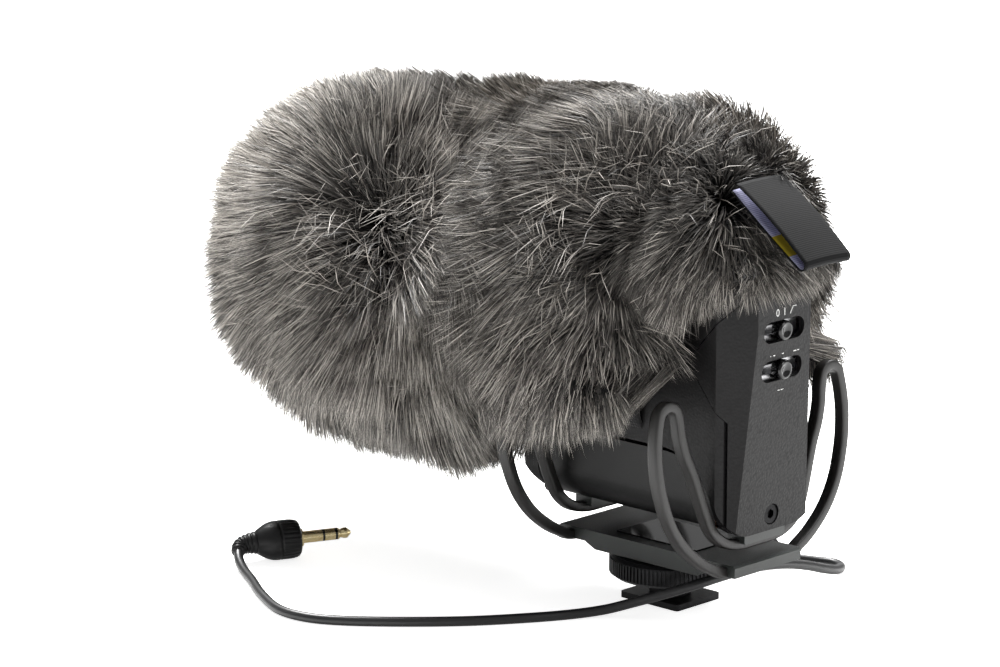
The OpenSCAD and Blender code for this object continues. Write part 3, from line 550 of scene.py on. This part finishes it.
# The pile's roots stand on a smooth form round the microphone. Sizes in mm
form = {
    "front": -143.5,      # nose of the form
    "noseLength": 47.0,   # the part of it that rounds over
    "noseShape": 2.08,    # 2 is an ellipse, more is blunter
    "halfWide": 33.0,
    "aboveAxis": 33.0,    # from its axis up to its top
    "belowAxis": 28.0,    # and down to its underside
    "axisHigh": 83.0,
    "rearRise": 6.0,      # how far the top swells towards the rear
    "rearTop": 33.0,      # where the form ends above the housing
    "rearNear": 6.0,      # and half way down its near side
    "rearFar": 18.0,      # and its far side
    "openFrom": -62.0,    # ahead of this the form is closed below
    "openTo": -44.0,
    "openAngle": 97.0,    # degrees from the top down to its lower lips
    "nearTuck": 9.0,      # how far the near side's lower corner is drawn back
    "edgeLong": 15.0,     # the part of it that closes down on the sleeve
    "sleeveHalf": 21.3,   # the sleeve's outline: half width, middle height and half height
    "sleeveMiddle": 77.5,
    "sleeveTall": 24.6,
    "lipHigh": 74.0,      # where the lower lips meet the sleeve
}
pile = {
    "seed": 11,
    "count": 335000,
    "height": 20.5,       # how far tips stand off the form
    "sweep": 24.0,        # how far tips lie along it
    "rootWide": 0.42,     # width of a drawn fibre: real ones are 0.05, and this is a few of them together
    "fineLock": 3.8,      # spacing of the small locks
    "lock": 12.0,         # and of the large ones
    "gather": 0.72,       # how far the tips of a small lock draw together
    "stray": 0.06,        # share of fibres that lie across the comb
    "mostInPiece": 39800,
    "ceiling": 140.0,     # tips above this are pressed down, to 8 mm above it at most
    "whorls": [(-74, -40, 101), (15, -38, 100), (-68, 38, 98), (10, 38, 104), (40, -8, 122)],
}


# What the hanging fibres keep clear of
keepClear = {
    "hoopsFrom": -32.5,   # behind this, and below hoopsHigh, they hang outside the hoops
    "hoopsHigh": 71.0,
    "hoopsOut": 43.0,
    "housingHalf": 20.3,  # over the housing they lie on its top, or behind panelFrom hang past its panel
    "housingTop": 102.4,
    "housingFrom": -60.0,
    "panelFrom": 34.0,
    "panelAt": 41.6,
}


def formPoint(s, b):
    # s runs from the nose to the rear edge, b from one lower lip over the top to the other.
    # The nose is a superellipse, the rest a straight elliptic tube. Below it is open behind openFrom,
    # where the lips tuck in to the sleeve, and the rear edge closes down on the sleeve as well
    k = form["noseLength"]
    p = form["noseShape"]
    quarter = np.clip(s / 0.3, 0, 1) * np.pi / 2
    xNose = form["front"] + k * (1 - np.cos(quarter) ** (2 / p))
    radius = np.where(s < 0.3, np.sin(quarter) ** (2 / p), 1.0)
    back = np.clip((s - 0.3) / 0.7, 0, 1)
    wideAngle = np.radians(form["openAngle"])
    reach = smooth(np.abs(b) * 1.5 - 0.2)
    side = np.where(b < 0, form["rearNear"], form["rearFar"])
    rearEnd = form["rearTop"] + (side - form["rearTop"]) * reach
    rearEnd = rearEnd + form["nearTuck"] * smooth((np.abs(b) - 0.55) / 0.4) * (b < 0)
    x = xNose + back * (rearEnd - form["front"] - k)
    opened = smooth((x - form["openFrom"]) / (form["openTo"] - form["openFrom"]))
    angle = b * (np.pi + (wideAngle - np.pi) * opened)
    y = form["halfWide"] * radius * np.sin(angle)
    rise = form["rearRise"] * smooth((x + 70) / 55)
    high = np.where(np.cos(angle) > 0, form["aboveAxis"] + rise, form["belowAxis"])
    z = form["axisHigh"] + high * radius * np.cos(angle)
    # outline of the sleeve at the same angle, a superellipse close to its rounded box
    ySleeve = form["sleeveHalf"] * np.sign(np.sin(angle)) * np.abs(np.sin(angle)) ** 0.4
    zSleeve = form["sleeveTall"] * np.sign(np.cos(angle)) * np.abs(np.cos(angle)) ** 0.4
    zSleeve = zSleeve + form["sleeveMiddle"]
    rear = smooth((x - rearEnd + form["edgeLong"]) / form["edgeLong"]) ** 1.5
    y = y + (ySleeve - y) * rear
    z = z + (zSleeve - z) * rear
    lip = opened * smooth((np.abs(b) - 0.88) / 0.12)
    y = y + (np.sign(b) * form["sleeveHalf"] - y) * lip
    z = z + (form["lipHigh"] - z) * lip * (1 - rear)
    return np.stack([x, y, z], -1)


def formNormal(s, b):
    # the cross product of the form's two directions, by small differences
    h = 0.002
    alongS = formPoint(np.clip(s + h, 0.004, 1), b) - formPoint(np.clip(s - h, 0.002, 1 - 2 * h), b)
    alongB = formPoint(s, np.clip(b + h, -1, 1)) - formPoint(s, np.clip(b - h, -1, 1))
    return unit(np.cross(alongS, alongB))


def hashed(cells, salt):
    # a repeatable number from 0 to 1 for each whole-number cell
    c = cells.astype(np.int64)
    h = (c[..., 0] * 73856093) ^ (c[..., 1] * 19349663) ^ (c[..., 2] * 83492791) ^ (salt * 2654435761)
    h = (h ^ (h >> 13)) & 0x7FFFFFFF
    h = (h * 1274126177) & 0x7FFFFFFF
    h = (h ^ (h >> 16)) & 0x7FFFFFFF
    return (h % 100003) / 100003.0


def nearestLock(points, spacing, salt):
    # each point's nearest lock centre: one centre stands somewhere in every cube of the given spacing
    home = np.floor(points / spacing)
    best = np.full(len(points), 1e9)
    centre = np.zeros_like(points)
    cell = np.zeros_like(points)
    for dx in (-1, 0, 1):
        for dy in (-1, 0, 1):
            for dz in (-1, 0, 1):
                near = home + [dx, dy, dz]
                spot = (near + np.stack([hashed(near, salt + i) for i in range(3)], -1)) * spacing
                far = np.linalg.norm(points - spot, axis=1)
                closer = far < best
                best = np.where(closer, far, best)
                centre[closer] = spot[closer]
                cell[closer] = near[closer]
    return centre, cell


def wavy(points, length, salt):
    # a smooth value from about -1 to 1: waves of the given length along five odd directions, summed
    ways = unit(np.random.default_rng(salt).normal(size=(5, 3)))
    phases = np.random.default_rng(salt + 1).uniform(0, 6.28, 5)
    return np.sin(points @ ways.T * (6.2832 / length) + phases).sum(-1) / 3.0


def combDirection(points, normals):
    # away from the nearest whorls, kept in the surface, drawn down a little by weight
    waves = np.stack([wavy(points, 46.0, 31), wavy(points, 52.0, 33), wavy(points, 41.0, 35)], -1)
    bent = points + 9.0 * waves
    away = bent[:, None] - np.array(pile["whorls"], float)[None]
    far = np.linalg.norm(away, axis=-1)
    weight = np.exp(-(far - far.min(1, keepdims=True)) / 13.0)
    comb = ((away / far[..., None]) * weight[..., None]).sum(1) / weight.sum(1, keepdims=True)
    comb = comb + np.array([0.05, 0, -0.22])
    comb = comb - (comb * normals).sum(1, keepdims=True) * normals
    strength = np.minimum(1, np.linalg.norm(comb, axis=1, keepdims=True) * 1.6)
    return unit(comb), strength * smooth(far.min(1) / 14)[:, None]


def makeForm():
    # the form as one sheet from nose to rear edge, with a fan of triangles that closes its tip
    rows, columns = 150, 161
    s = np.linspace(0.004, 1, rows)[:, None] + np.zeros((1, columns))
    b = np.linspace(-1, 1, columns)[None] + np.zeros((rows, 1))
    points = np.vstack([formPoint(s, b).reshape(-1, 3), [form["front"], 0, form["axisHigh"]]])
    uv = np.vstack([np.stack([s, b * 0.5 + 0.5], -1).reshape(-1, 2), [0, 0.5]])
    j = np.arange(columns - 1)
    tris = np.stack([j, j + 1, np.full(columns - 1, rows * columns)], -1)
    made = meshFrom("underPile", points, gridFaces(rows, columns)[:, ::-1], tris, uv)
    dress(made, "under")
    return made


def furZones():
    # twelve zones: nose, middle and rear, each in four strips from lip to lip
    parts = (("Nose", 0.0, 0.33), ("Middle", 0.33, 0.68), ("Rear", 0.68, 1.0))
    strips = (("NearLow", -1, -0.5), ("NearTop", -0.5, 0), ("FarTop", 0, 0.5), ("FarLow", 0.5, 1))
    for part, low, high in parts:
        for strip, left, right in strips:
            yield "fur" + part + strip, low, high, left, right


def cellAreas(s, b):
    # area of each cell of a grid on the form, from the cross product of its two first sides
    grid = formPoint(s, b)
    sides = np.cross(grid[1:, :-1] - grid[:-1, :-1], grid[:-1, 1:] - grid[:-1, :-1])
    return np.linalg.norm(sides, axis=-1).ravel()


def makeFur(name, low, high, left, right, share, rng):
    # Roots are spread evenly over the zone. Each fibre rises along the normal and bends over along the comb
    count = int(pile["count"] * share)
    rows, columns = 90, 110
    sEdge = np.linspace(low, high, rows + 1)
    bEdge = np.linspace(left, right, columns + 1)
    area = cellAreas(np.maximum(sEdge, 0.001)[:, None] + 0 * bEdge[None], bEdge[None] + 0 * sEdge[:, None])
    pick = np.searchsorted(np.cumsum(area) / area.sum(), rng.random(count))
    s = sEdge[pick // columns] + rng.random(count) * (high - low) / rows
    b = bEdge[pick % columns] + rng.random(count) * (right - left) / columns
    s = np.clip(s, 0.006, 0.999)
    root = formPoint(s, b)
    normal = formNormal(s, b)
    comb, strength = combDirection(root, normal)
    fineCentre, fineCell = nearestLock(root, pile["fineLock"], 5)
    _, lockCell = nearestLock(root, pile["lock"], 9)
    # the comb turns with the locks: smoothly over 58 mm, by lock, by small lock and by fibre
    curly = smooth((s - 0.72) / 0.2)
    turn = np.radians(30 * wavy(root, 58.0, 3) + 40 * (hashed(lockCell, 21) - 0.5)
                      + 34 * (hashed(fineCell, 22) - 0.5) + rng.normal(0, 1, count) * (7 + 22 * curly))
    across = np.cross(normal, comb)
    way = comb * np.cos(turn)[:, None] + across * np.sin(turn)[:, None]
    # locks also stand more or less off the form
    tall = (1 + 0.10 * wavy(root, 30.0, 6) + 0.22 * (hashed(lockCell, 23) - 0.5)
            + 0.24 * (hashed(fineCell, 24) - 0.5))
    tall = (tall * rng.normal(1, 0.08, count)).clip(0.55, 1.3)
    stray = rng.random(count) < pile["stray"]
    loose = unit(way + 1.3 * rng.normal(size=(count, 3)))
    loose = loose - (loose * normal).sum(1, keepdims=True) * normal
    way = np.where(stray[:, None], loose, way)
    rim = smooth((s - 0.84) / 0.16)
    edge = 1 - 0.5 * rim - 0.3 * smooth((np.abs(b) - 0.9) / 0.1) * (s > 0.5)
    height = pile["height"] * tall * edge
    sweep = pile["sweep"] * (0.35 + 0.65 * strength[:, 0]) * (0.8 + 0.4 * hashed(fineCell, 25)) * edge
    offset = root - fineCentre
    offset = offset - (offset * normal).sum(1, keepdims=True) * normal
    far = np.linalg.norm(offset, axis=1, keepdims=True)
    offset = offset * np.minimum(1, 4.0 / np.maximum(far, 1e-6))
    steps = np.array([0.0, 0.42, 0.76, 1.0])
    t = steps[None, :, None]
    path = (root[:, None] + normal[:, None] * height[:, None, None] * (1.45 * t - 0.45 * t ** 2)
            + way[:, None] * sweep[:, None, None] * (0.25 * t + 0.75 * t ** 1.8)
            - offset[:, None] * pile["gather"] * t ** 1.3)
    path[..., 2] -= (2.0 + 5.0 * rim[:, None]) * steps[None] ** 2
    # fibres behind the front hoop hang outside the hoops
    x, y, z = path[..., 0], path[..., 1], path[..., 2]
    inWay = (x > keepClear["hoopsFrom"]) & (z < keepClear["hoopsHigh"]) & (np.abs(y) < keepClear["hoopsOut"])
    inWay[:, 0] = False
    outward = keepClear["hoopsOut"] + 2 * rng.random((count, 1))
    path[..., 1] = np.where(inWay, np.sign(y) * outward, y)
    # and those over the rear panel hang behind it or lie on the housing's top
    inBody = (np.abs(y) < keepClear["housingHalf"]) & (z < keepClear["housingTop"])
    inBody = inBody & (x < keepClear["panelAt"])
    inBody[:, 0] = False
    behind = inBody & (x > keepClear["panelFrom"])
    path[..., 0] = np.where(behind, keepClear["panelAt"] + 0.1 + 2.5 * rng.random((count, 1)), x)
    onTop = inBody & ~behind & (x > keepClear["housingFrom"])
    path[..., 2] = np.where(onTop, keepClear["housingTop"] + 0.1, z)
    over = np.maximum(z - pile["ceiling"], 0)
    path[..., 2] = np.minimum(z, pile["ceiling"] + 8 * over / (8 + over))
    # flat ribbons that turn their face roughly outwards
    along = unit(path[:, 3] - path[:, 0])
    facing = normal + 0.55 * rng.normal(size=(count, 3))
    side = unit(np.cross(along, facing))
    wide = pile["rootWide"] * (0.75 + 0.5 * rng.random(count)) * np.where(stray, 0.85, 1)
    half = wide[:, None, None] * np.array([0.5, 0.46, 0.30])[None, :, None] * side[:, None]
    points = np.concatenate([path[:, :3] - half, path[:, :3] + half, path[:, 3:]], axis=1)
    first = np.arange(count)[:, None] * 7
    quads = np.concatenate([first + [0, 3, 4, 1], first + [1, 4, 5, 2]])
    tris = first + [2, 5, 6]
    # most fibres are dark; the rest are pale, more of them in some locks than in others, with painted light
    # and shade on top: more pale fibres at the top of the nose, fewer low down and round the whorls
    paleShare = 0.24 + 0.08 * wavy(root, 40.0, 8) + 0.24 * (hashed(fineCell, 26) - 0.5) + 0.5 * stray
    # painted light: more pale fibres towards the top of the nose, where light from above and behind brightens
    # the pile
    noseTopPaintedLight = smooth((-root[:, 0] - 85) / 40) * smooth((root[:, 2] - 82) / 26)
    # painted shade: fewer pale fibres low down on the form, where the pile is in shade
    lowPaintedShade = smooth((76 - root[:, 2]) / 20)
    # painted shade: fewer pale fibres round the whorls, where the comb is weak and the parted pile is in
    # shade
    paleShare = paleShare + 0.55 * noseTopPaintedLight - 0.12 * lowPaintedShade - 0.3 * (1 - strength[:, 0])
    isPale = rng.random(count) < paleShare
    pale = np.where(isPale, 0.72 + 0.26 * rng.random(count), 0.02 + 0.26 * rng.random(count))
    alongFibre = np.array([0.02, 0.42, 0.76, 0.02, 0.42, 0.76, 0.98])
    uv = np.stack(np.broadcast_arrays(pale[:, None], alongFibre[None]), -1)
    made = meshFrom(name, points.reshape(-1, 3), quads, tris, uv.reshape(-1, 2))
    dress(made, "pile")
    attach(made, "windscreen")
    return made


under = makeForm()
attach(under, "windscreen")
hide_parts("fur_pile")
rng = np.random.default_rng(pile["seed"])
sizes = {}
for name, low, high, left, right in furZones():
    s = np.linspace(max(low, 0.003), high, 60)[:, None] + np.zeros((1, 60))
    b = np.linspace(left, right, 60)[None] + np.zeros((60, 1))
    sizes[name] = float(cellAreas(s, b).sum())
total = sum(sizes.values())
print("form area", round(total), "mm2")
for zone in furZones():
    zoneShare = min(sizes[zone[0]] / total, pile["mostInPiece"] / pile["count"])
    makeFur(*zone, zoneShare, rng)
print("fur made")


# Half of a hoop's centre line, (across, high) in mm: out along the base, up, over and down to the cradle
hoop = {
    "half": [(0, 16.6), (13.5, 16.6), (18, 18.2), (24, 21.6), (30.5, 27.2), (35.4, 34.5), (38.4, 43.5),
             (39.4, 51), (39.2, 57), (38.2, 62.4), (36.9, 65.3), (34.1, 66.5), (31.3, 65.3),
             (30.1, 62.4), (29.4, 57), (27.8, 51.5), (25.2, 46), (22.8, 39.5), (21, 34.5), (18.4, 29),
             (14, 25.2), (8, 23.4), (0, 23.2)],
    "lean": 4.0,          # degrees forward, about its low run
    "thick": 3.0,
    "deep": 3.5,
    "corner": 5.0,        # exponent of the strand's rounded outline: 2 is round, more is squarer
}


def makeHoop(nodeName, name, centre):
    # the strand's outline is a superellipse, carried round the closed centre line and leaned forward
    half = np.array(hoop["half"])
    loop = np.vstack([half, (half * [-1, 1])[-2:0:-1]])
    line = splinePoints(loop, 6, closed=True)
    ahead = unit(np.roll(line, -1, 0) - np.roll(line, 1, 0))
    outward = np.stack([ahead[:, 1], -ahead[:, 0]], -1)
    angle = (np.arange(20) + 0.5) * 2 * np.pi / 20
    power = 2 / hoop["corner"]
    inPlane = np.sign(np.cos(angle)) * np.abs(np.cos(angle)) ** power * hoop["thick"] / 2
    along = np.sign(np.sin(angle)) * np.abs(np.sin(angle)) ** power * hoop["deep"] / 2
    flat = line[:, None] + outward[:, None] * inPlane[None, :, None]
    points = np.concatenate([np.broadcast_to(along[None, :, None], flat.shape[:2] + (1,)), flat], -1)
    lean = math.radians(hoop["lean"])
    rise = points[..., 2] - half[0, 1]
    x = centre + points[..., 0] * math.cos(lean) - rise * math.sin(lean)
    z = half[0, 1] + points[..., 0] * math.sin(lean) + rise * math.cos(lean)
    points = np.stack([x, points[..., 1], z], -1)
    made = faceOut(meshFrom(name, points.reshape(-1, 3), gridFaces(len(line), 20, True, True)))
    dress(made, "hoop")
    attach(made, "microphone")
    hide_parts(nodeName)


makeHoop("front_hoop", "hoopFront", -25.5)
makeHoop("rear_hoop", "hoopRear", 31.5)
print("hoops made")


tag = {
    "wide": 19.0,
    "long": 26.5,
    "leaveAt": 35.0,      # where it leaves the edge, along and up
    "leaveHigh": 119.5,
    "middle": -2.4,
    "droop": 37.0,        # degrees below level
    "open": 3.0,          # gap between the leaves where it is widest
    "fold": 1.6,          # radius of the fold
    "sewnIn": 5.0,        # how far the leaves run in under the fur
}


def tagLine(inset):
    # the loop seen from its side: out along the upper leaf, round the fold, and back along the lower one
    a = np.linspace(0, 1, 28)
    long = tag["long"] - tag["fold"] - 0.2
    sewn = tag["sewnIn"]
    r = tag["fold"]
    gap = tag["open"] * 0.25 * np.sin(np.pi * a)
    upper = np.stack([-sewn + (long + sewn) * a, 2 * r + gap - inset], -1)
    turn = np.linspace(0, np.pi, 18)[1:-1]
    fold = np.stack([long + (r - inset) * np.sin(turn), r + (r - inset) * np.cos(turn)], -1)
    lower = np.stack([long - (long + sewn) * a, inset - 0.2 * np.sin(np.pi * a)], -1)
    return np.vstack([upper, fold, lower])


def makeTag(name, inset, thick, finish, short):
    # the loop's line drawn out across, then turned down by the droop, with a slight bow across its width
    line = tagLine(inset)
    droop = math.radians(tag["droop"])
    x = tag["leaveAt"] + line[:, 0] * math.cos(droop) + line[:, 1] * math.sin(droop)
    z = tag["leaveHigh"] - line[:, 0] * math.sin(droop) + line[:, 1] * math.cos(droop)
    across = np.linspace(-0.5, 0.5, 15) * (tag["wide"] - short)
    bow = 0.35 * np.cos(across / tag["wide"] * np.pi)
    y = tag["middle"] + across
    points = np.stack(np.broadcast_arrays(x[:, None] + 0.2 * bow, y[None], z[:, None] + bow), -1)
    along = lengthAlong(np.stack([x, z], -1))
    uv = np.stack(np.broadcast_arrays(across[None] / tag["wide"] + 0.5, (along / along[-1])[:, None]), -1)
    made = meshFrom(name, points.reshape(-1, 3), gridFaces(len(line), 15)[:, ::-1], uv=uv.reshape(-1, 2))
    wall = made.modifiers.new("wall", "SOLIDIFY")
    wall.thickness = thick * mm
    wall.offset = -1
    dress(made, finish)
    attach(made, "windscreen")
    return made


outer = makeTag("tagStrip", 0.0, 0.35, "webbing", 0.0)
makeTag("tagLining", 0.42, 0.2, "lining", 0.8)
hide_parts("label_tag")
print("tag made")


sleeve = {
    "front": -111.0,
    "half": 20.2,
    "top": 101.2,
    "bottom": 49.6,
    "corner": 10.5,
    "wall": 0.8,
    "openFrom": -56.0,    # behind this its underside is open up to openHigh, for the battery housing
    "openHigh": 53.0,
    "rearLow": 6.0,       # its rear edge, which slants back towards the top
    "rearSlant": 26.0,
    # its front, as (share of the full outline, distance back)
    "dome": [(0.0, 0.0), (0.3, 0.0), (0.6, 0.1), (0.85, 0.5), (0.97, 1.6), (1.0, 4.0)],
}


def boxOutline(half, low, high, corner, count):
    # a rectangle with round corners, as evenly spaced (across, high) points from the middle of its underside
    turn = np.linspace(0, np.pi / 2, 12)
    arc = np.stack([np.sin(turn), 1 - np.cos(turn)], -1) * corner
    rise = np.stack([half - corner + arc[:, 0], low + arc[:, 1]], -1)
    fall = np.stack([rise[:, 0], low + high - rise[:, 1]], -1)[::-1]
    side = np.vstack([[[0, low]], rise, fall, [[0, high]]])
    loop = np.vstack([side, (side * [-1, 1])[::-1][1:]])
    along = lengthAlong(loop)
    spot = np.linspace(0, along[-1], count)
    return np.stack([np.interp(spot, along, loop[:, 0]), np.interp(spot, along, loop[:, 1])], -1)


def makeSleeve():
    # the knitted sleeve: its outline drawn along from a closed, slightly domed front to a slanted rear edge
    outline = boxOutline(sleeve["half"], sleeve["bottom"], sleeve["top"], sleeve["corner"], 161)[:-1]
    middle = np.array([0, (sleeve["bottom"] + sleeve["top"]) / 2])
    dome = np.array(sleeve["dome"])
    rings = 59
    deep = dome[-1, 1]
    a = np.concatenate([np.zeros(len(dome)), np.linspace(0, 1, rings + 1)[1:]])
    size = np.concatenate([dome[:, 0], np.ones(rings)])
    flat = middle + (outline - middle)[None] * size[:, None, None]
    rear = sleeve["rearLow"] + sleeve["rearSlant"] * smooth((flat[..., 1] - 78) / 22)
    start = sleeve["front"] + np.concatenate([dome[:, 1], np.full(rings, deep)])
    x = start[:, None] + a[:, None] * (rear - sleeve["front"] - deep)
    points = np.concatenate([x[..., None], flat], -1)
    faces = gridFaces(len(a), 160, closeColumns=True)
    centre = points.reshape(-1, 3)[faces].mean(1)
    keep = ~((centre[:, 0] > sleeve["openFrom"]) & (centre[:, 2] < sleeve["openHigh"]))
    made = meshFrom("knitSleeve", points.reshape(-1, 3), faces[keep][:, ::-1])
    wall = made.modifiers.new("wall", "SOLIDIFY")
    wall.thickness = sleeve["wall"] * mm
    wall.offset = -1
    dress(made, "knit")
    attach(made, "windscreen")
    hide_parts("fur_backing")


hem = {
    "at": 36.9,
    "from": 96.0,         # it is kept above this height
    "out": 0.9,           # how far its middle stands off the sleeve
    "half": (2.0, 0.75),  # half its width along, and half its thickness
    "ripple": 0.14,
}


def makeHem():
    # elastic in its hem: a flat strand, gathered in small ripples, over the top of the sleeve's rear edge
    out = hem["out"]
    outline = boxOutline(sleeve["half"] + out, sleeve["bottom"], sleeve["top"] + out, sleeve["corner"], 400)
    outline = outline[outline[:, 1] > hem["from"]]
    count = len(outline)
    line = np.column_stack([np.full(count, hem["at"]), outline])
    inward = unit(np.column_stack([-outline[:, 0], 80 - outline[:, 1]]))
    angle = np.arange(16) * 2 * np.pi / 16
    ripple = 1 + hem["ripple"] * np.sin(np.arange(count) * 1.1)
    thick = np.sin(angle)[None] * hem["half"][1] * ripple[:, None]
    wide = np.sign(np.cos(angle)) * np.abs(np.cos(angle)) ** 0.6 * hem["half"][0]
    points = np.concatenate([line[:, None, :1] + wide[None, :, None],
                             line[:, None, 1:] + inward[:, None] * thick[..., None]], -1)
    every = np.vstack([points.reshape(-1, 3), line[0], line[-1]])
    quads = gridFaces(count, 16, closeColumns=True)
    made = faceOut(meshFrom("elasticHem", every, quads, endCaps(count, 16)))
    dress(made, "knit")
    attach(made, "windscreen")
    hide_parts("elastic_hem")


foam = {
    "corner": 16.0,
    "edge": 9.0,          # how far its front edges are rounded over
}


def makeFoam():
    # foam windshield: a rounded box outline drawn along, its front edges rounded over
    low, high = [np.array(corner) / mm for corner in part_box("foam_windshield")]
    sides = 120
    outline = boxOutline(high[1], low[2], high[2], foam["corner"], sides + 1)[:-1]
    middle = np.array([0, (low[2] + high[2]) / 2])
    turn = np.linspace(0, np.pi / 2, 10)
    inset = np.concatenate([[19.0, 14.0], foam["edge"] * (1 - np.sin(turn)), np.zeros(20)])
    rounded = foam["edge"] * (1 - np.cos(turn))
    x = low[0] + np.concatenate([[0, 0], rounded, np.linspace(foam["edge"], high[0] - low[0], 21)[1:]])
    half = np.array([high[1], (high[2] - low[2]) / 2])
    flat = middle + (outline - middle)[None] * (1 - inset[:, None] / half[None])[:, None, :]
    points = np.concatenate([np.broadcast_to(x[:, None, None], flat.shape[:2] + (1,)), flat], -1)
    every = np.vstack([points.reshape(-1, 3), [[x[0], 0, middle[1]], [x[-1], 0, middle[1]]]])
    quads = gridFaces(len(x), sides, closeColumns=True)
    made = faceOut(meshFrom("foamShield", every, quads, endCaps(len(x), sides)[:, ::-1]))
    dress(made, "foam")
    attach(made, "microphone")
    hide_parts("foam_windshield")


makeSleeve()
makeHem()
makeFoam()
print("sleeve, hem and foam made")


knob = {
    "from": 38.0,         # where its foot stands, inside the panel
    "profile": [(0, 0), (0, 2.6), (0.2, 2.8), (2.6, 2.8), (3.0, 2.72), (3.3, 2.45), (3.4, 2.15), (3.33, 1.8),
                (3.05, 1.2), (2.85, 0.6), (2.8, 0)],
}


def makeKnob(nodeName, name, body, high):
    # a round post with rounded edges and a shallow dish in its end, turned about a line along X
    made = faceOut(turned(name, knob["profile"], (knob["from"], 0, high), (1, 0, 0)))
    dress(made, "gloss")
    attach(made, body)
    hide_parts(nodeName)


makeKnob("power_knob", "knobPower", "power_slider", 84.0)
makeKnob("level_knob", "knobLevel", "level_slider", 73.0)
print("knobs made")


panel = {
    "at": 40.5,
    "bend": 84.0,         # below this height the panel leans forward
    "leanIn": 4.0,        # by this much
    "leanOver": 57.0,     # over this height
}
# Printed marks beside the two slide switches
legend = {
    "size": 3.0,
    "thick": 0.02,
    "proud": 0.03,
    "marks": [("0", -2.9, 88.2), ("I", 0.0, 88.2), ("-10", -4.8, 77.2), ("0", 0.0, 77.2), ("+20", 4.9, 77.2),
              ("dB", 0.0, 67.0)],     # (text, across, high)
    "lowCut": [(2.3, 88.3), (3.4, 90.2), (4.8, 90.2)],    # (across, high) along the low-cut sign's line
}


def panelAt(high):
    # level with the panel's top part above the bend, and in proportion to the depth below it
    return panel["at"] - panel["leanIn"] * max(0.0, (panel["bend"] - high) / panel["leanOver"])


def makeLegends():
    # letters laid on the panel and tilted with it, and the low-cut sign: a thin tube that rises, then
    # runs level
    made = []
    tilt = math.atan(panel["leanIn"] / panel["leanOver"])
    for text, across, high in legend["marks"]:
        curve = bpy.data.curves.new("mark", "FONT")
        curve.body = text
        curve.size = legend["size"] * mm
        curve.align_x = "CENTER"
        curve.extrude = legend["thick"] * mm
        curve.resolution_u = 3
        letter = bpy.data.objects.new("mark", curve)
        bpy.context.scene.collection.objects.link(letter)
        lean = tilt if high < panel["bend"] else 0
        turn = Matrix(((0, -math.sin(lean), math.cos(lean)), (1, 0, 0), (0, math.cos(lean), math.sin(lean))))
        bpy.context.view_layer.update()
        mesh = bpy.data.meshes.new_from_object(letter)
        bpy.data.objects.remove(letter)
        place = Vector((panelAt(high) + legend["proud"], across, high)) * mm
        mesh.transform(Matrix.Translation(place) @ turn.to_4x4())
        part = bpy.data.objects.new("legend", mesh)
        bpy.context.scene.collection.objects.link(part)
        made.append(part)
    line = np.array([(panel["at"] + 0.04, across, high) for across, high in legend["lowCut"]])
    sign, _ = tubeMesh("legend", line, 0.17, 6)
    made.append(sign)
    for part in made:
        part.select_set(True)
    bpy.context.view_layer.objects.active = made[0]
    bpy.ops.object.join()
    whole = bpy.context.view_layer.objects.active
    whole.select_set(False)
    whole.name = "switchLegends"
    dress(whole, "print")
    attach(whole, "microphone")


makeLegends()
print("legends made")


room = {
    "worldLight": (0.36, 1.0),    # strength on the object, and as the camera sees it
    "floorGlow": (0.2, 0.8),
    "floorHalf": 4000,
    "aimAt": (-0.04, 0, 0.08),
    "lamps": {                    # place in metres, side in metres, watts
        "keyLeftTop": ((-0.9, 0.3, 1.4), 0.4, 66.0),
        "backTop": ((-0.2, 0.9, 1.0), 0.6, 20.0),
        "rearFill": ((1.0, 0.3, 0.7), 0.5, 5.0),
    },
}


def splitLight(tree, values):
    # the first value for light that reaches the object, the second for the camera's own view
    seen = addNode(tree, "ShaderNodeLightPath").outputs["Is Camera Ray"]
    both = addNode(tree, "ShaderNodeMapRange", {"To Min": values[0], "To Max": values[1]}, {"Value": seen})
    return both.outputs["Result"]


def makeRoom():
    # white surroundings, a pale floor that is brighter to the camera than to the object, and three lamps
    world = bpy.data.worlds.new("paleRoom")
    world.use_nodes = True
    background = world.node_tree.nodes["Background"]
    background.inputs["Color"].default_value = (1.0, 1.0, 1.0, 1.0)
    strength = splitLight(world.node_tree, room["worldLight"])
    world.node_tree.links.new(strength, background.inputs["Strength"])
    bpy.context.scene.world = world
    bpy.context.scene.view_settings.view_transform = "Standard"
    far = room["floorHalf"]
    corners = [[-far, -far, 0], [far, -far, 0], [far, far, 0], [-far, far, 0]]
    floor = meshFrom("floor", corners, [[0, 1, 2, 3]])
    material, tree, shader = startMaterial("palePaper", Roughness=0.8)
    shader.inputs["Base Color"].default_value = linear("#fbfbfa")
    shader.inputs["Emission Color"].default_value = (1.0, 1.0, 1.0, 1.0)
    tree.links.new(splitLight(tree, room["floorGlow"]), shader.inputs["Emission Strength"])
    floor.data.materials.append(material)
    for name, (place, size, power) in room["lamps"].items():
        lamp = bpy.data.lights.new(name, "AREA")
        lamp.shape = "SQUARE"
        lamp.size = size
        lamp.energy = power
        made = bpy.data.objects.new(name, lamp)
        made.location = place
        toward = Vector(room["aimAt"]) - Vector(place)
        made.rotation_euler = toward.to_track_quat("-Z", "Y").to_euler()
        bpy.context.scene.collection.objects.link(made)


makeRoom()
print("room lit")
